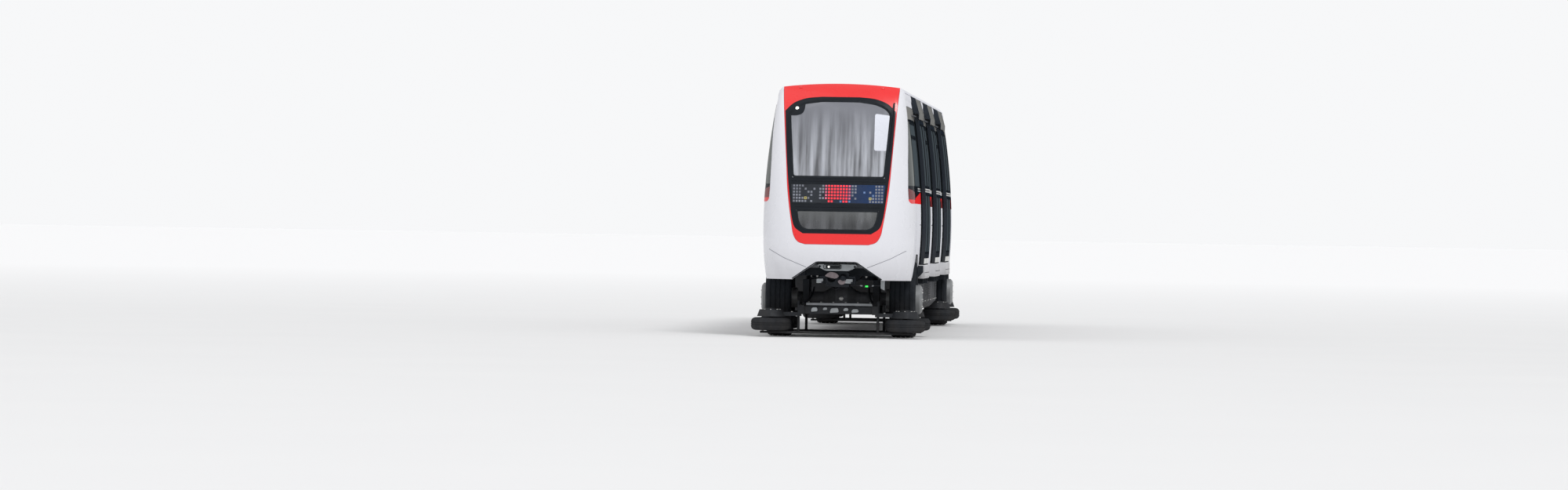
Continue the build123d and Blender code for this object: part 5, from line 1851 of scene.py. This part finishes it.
class METRO_OT_gangway(bpy.types.Operator):
    """Replace the bellows by folded fabric and dress the rear wall."""

    bl_idname = "metro.gangway"
    bl_label = "Gangway"

    def execute(self, context):
        look = palette(context)
        low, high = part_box("gangway")
        half, z0, z1 = high.y, low.z, high.z
        folds, fold_steps, deep, skin, corner = 6, 8, 0.043, 0.012, 0.11
        cloth = bmesh.new()
        rows = []
        for i, x in enumerate(spaced(low.x + 0.004, high.x - 0.002, folds * fold_steps)):
            wave = deep * (0.5 + 0.5 * math.cos(2 * math.pi * i / fold_steps))
            corners = rect(-half + wave, half - wave, z0 + wave, z1 - wave)
            rows.append([Vector((x, y, z)) for y, z in rounded(corners, corner - wave)])
        middle_z = (z0 + z1) / 2
        inner = []
        for row in reversed(rows):
            inset = [(0, math.copysign(skin, p.y), math.copysign(skin, p.z - middle_z)) for p in row]
            inner.append([p - Vector(offset) for p, offset in zip(row, inset)])
        grid(cloth, rows + inner, along=True)
        made = piece("bellows_cloth", cloth, look["bellows"], "car", "bellows", angle=70)
        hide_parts("gangway")

        frames = bmesh.new()
        outline = rounded(rect(-half + 0.012, half - 0.012, z0 + 0.012, z1 - 0.012), 0.10)
        band(frames, ahead_of(low.x), outline, 0.0, -0.05, 0.0, 0.014)
        outline = rounded(rect(-half, half, z0, z1), corner)
        band(frames, ahead_of(REAR_X, -1), outline, 0.0, -0.06, 0.0005, 0.012)
        piece("bellows_frames", frames, look["silver"], "car", "grey_metal", bevel=0.002)

        rails = bmesh.new()
        out_x, rail_y = REAR_X - 0.02, 0.72
        for side in SIDES.values():
            tube(rails, [(out_x, side * rail_y, z) for z in (1.0, 1.3, 1.6, 1.9, 2.2)], 0.014, 12)
            for z in (1.02, 2.18):
                tube(rails, [(REAR_X + 0.002, side * rail_y, z), (out_x, side * rail_y, z)], 0.012, 10)
        piece("rear_hand_rails", rails, look["silver"], "car", "rail_metal")
        return {"FINISHED"}


OPERATORS = (
    METRO_OT_stage,
    METRO_OT_nose,
    METRO_OT_display,
    METRO_OT_wiper,
    METRO_OT_front_gear,
    METRO_OT_sides,
    METRO_OT_doors,
    METRO_OT_headers,
    METRO_OT_roof,
    METRO_OT_interior,
    METRO_OT_seats,
    METRO_OT_wheels,
    METRO_OT_running_gear,
    METRO_OT_underframe,
    METRO_OT_gangway,
)


class METRO_PT_sidebar(bpy.types.Panel):
    """Lists the car's colours, sizes and pieces."""

    bl_idname = "METRO_PT_sidebar"
    bl_label = "Metro car"
    bl_space_type = "VIEW_3D"
    bl_region_type = "UI"
    bl_category = "Metro car"

    def draw(self, context):
        column = self.layout.column()
        for group in (context.scene.metro_look, context.scene.metro_sizes):
            for key in group.bl_rna.properties.keys():
                if key not in ("rna_type", "name"):
                    column.prop(group, key)
        for operator in OPERATORS:
            column.operator(operator.bl_idname)


CLASSES = (MetroLook, MetroSizes) + OPERATORS + (METRO_PT_sidebar,)


def register():
    """Add the classes and the scene's properties."""
    for each in CLASSES:
        bpy.utils.register_class(each)
    bpy.types.Scene.metro_look = PointerProperty(type=MetroLook)
    bpy.types.Scene.metro_sizes = PointerProperty(type=MetroSizes)


def unregister():
    """Take the classes and properties away again."""
    del bpy.types.Scene.metro_sizes
    del bpy.types.Scene.metro_look
    for each in reversed(CLASSES):
        bpy.utils.unregister_class(each)


def main():
    """Build the whole look."""
    register()
    for operator in OPERATORS:
        group, name = operator.bl_idname.split(".")
        getattr(getattr(bpy.ops, group), name)()


if __name__ == "__main__":
    main()
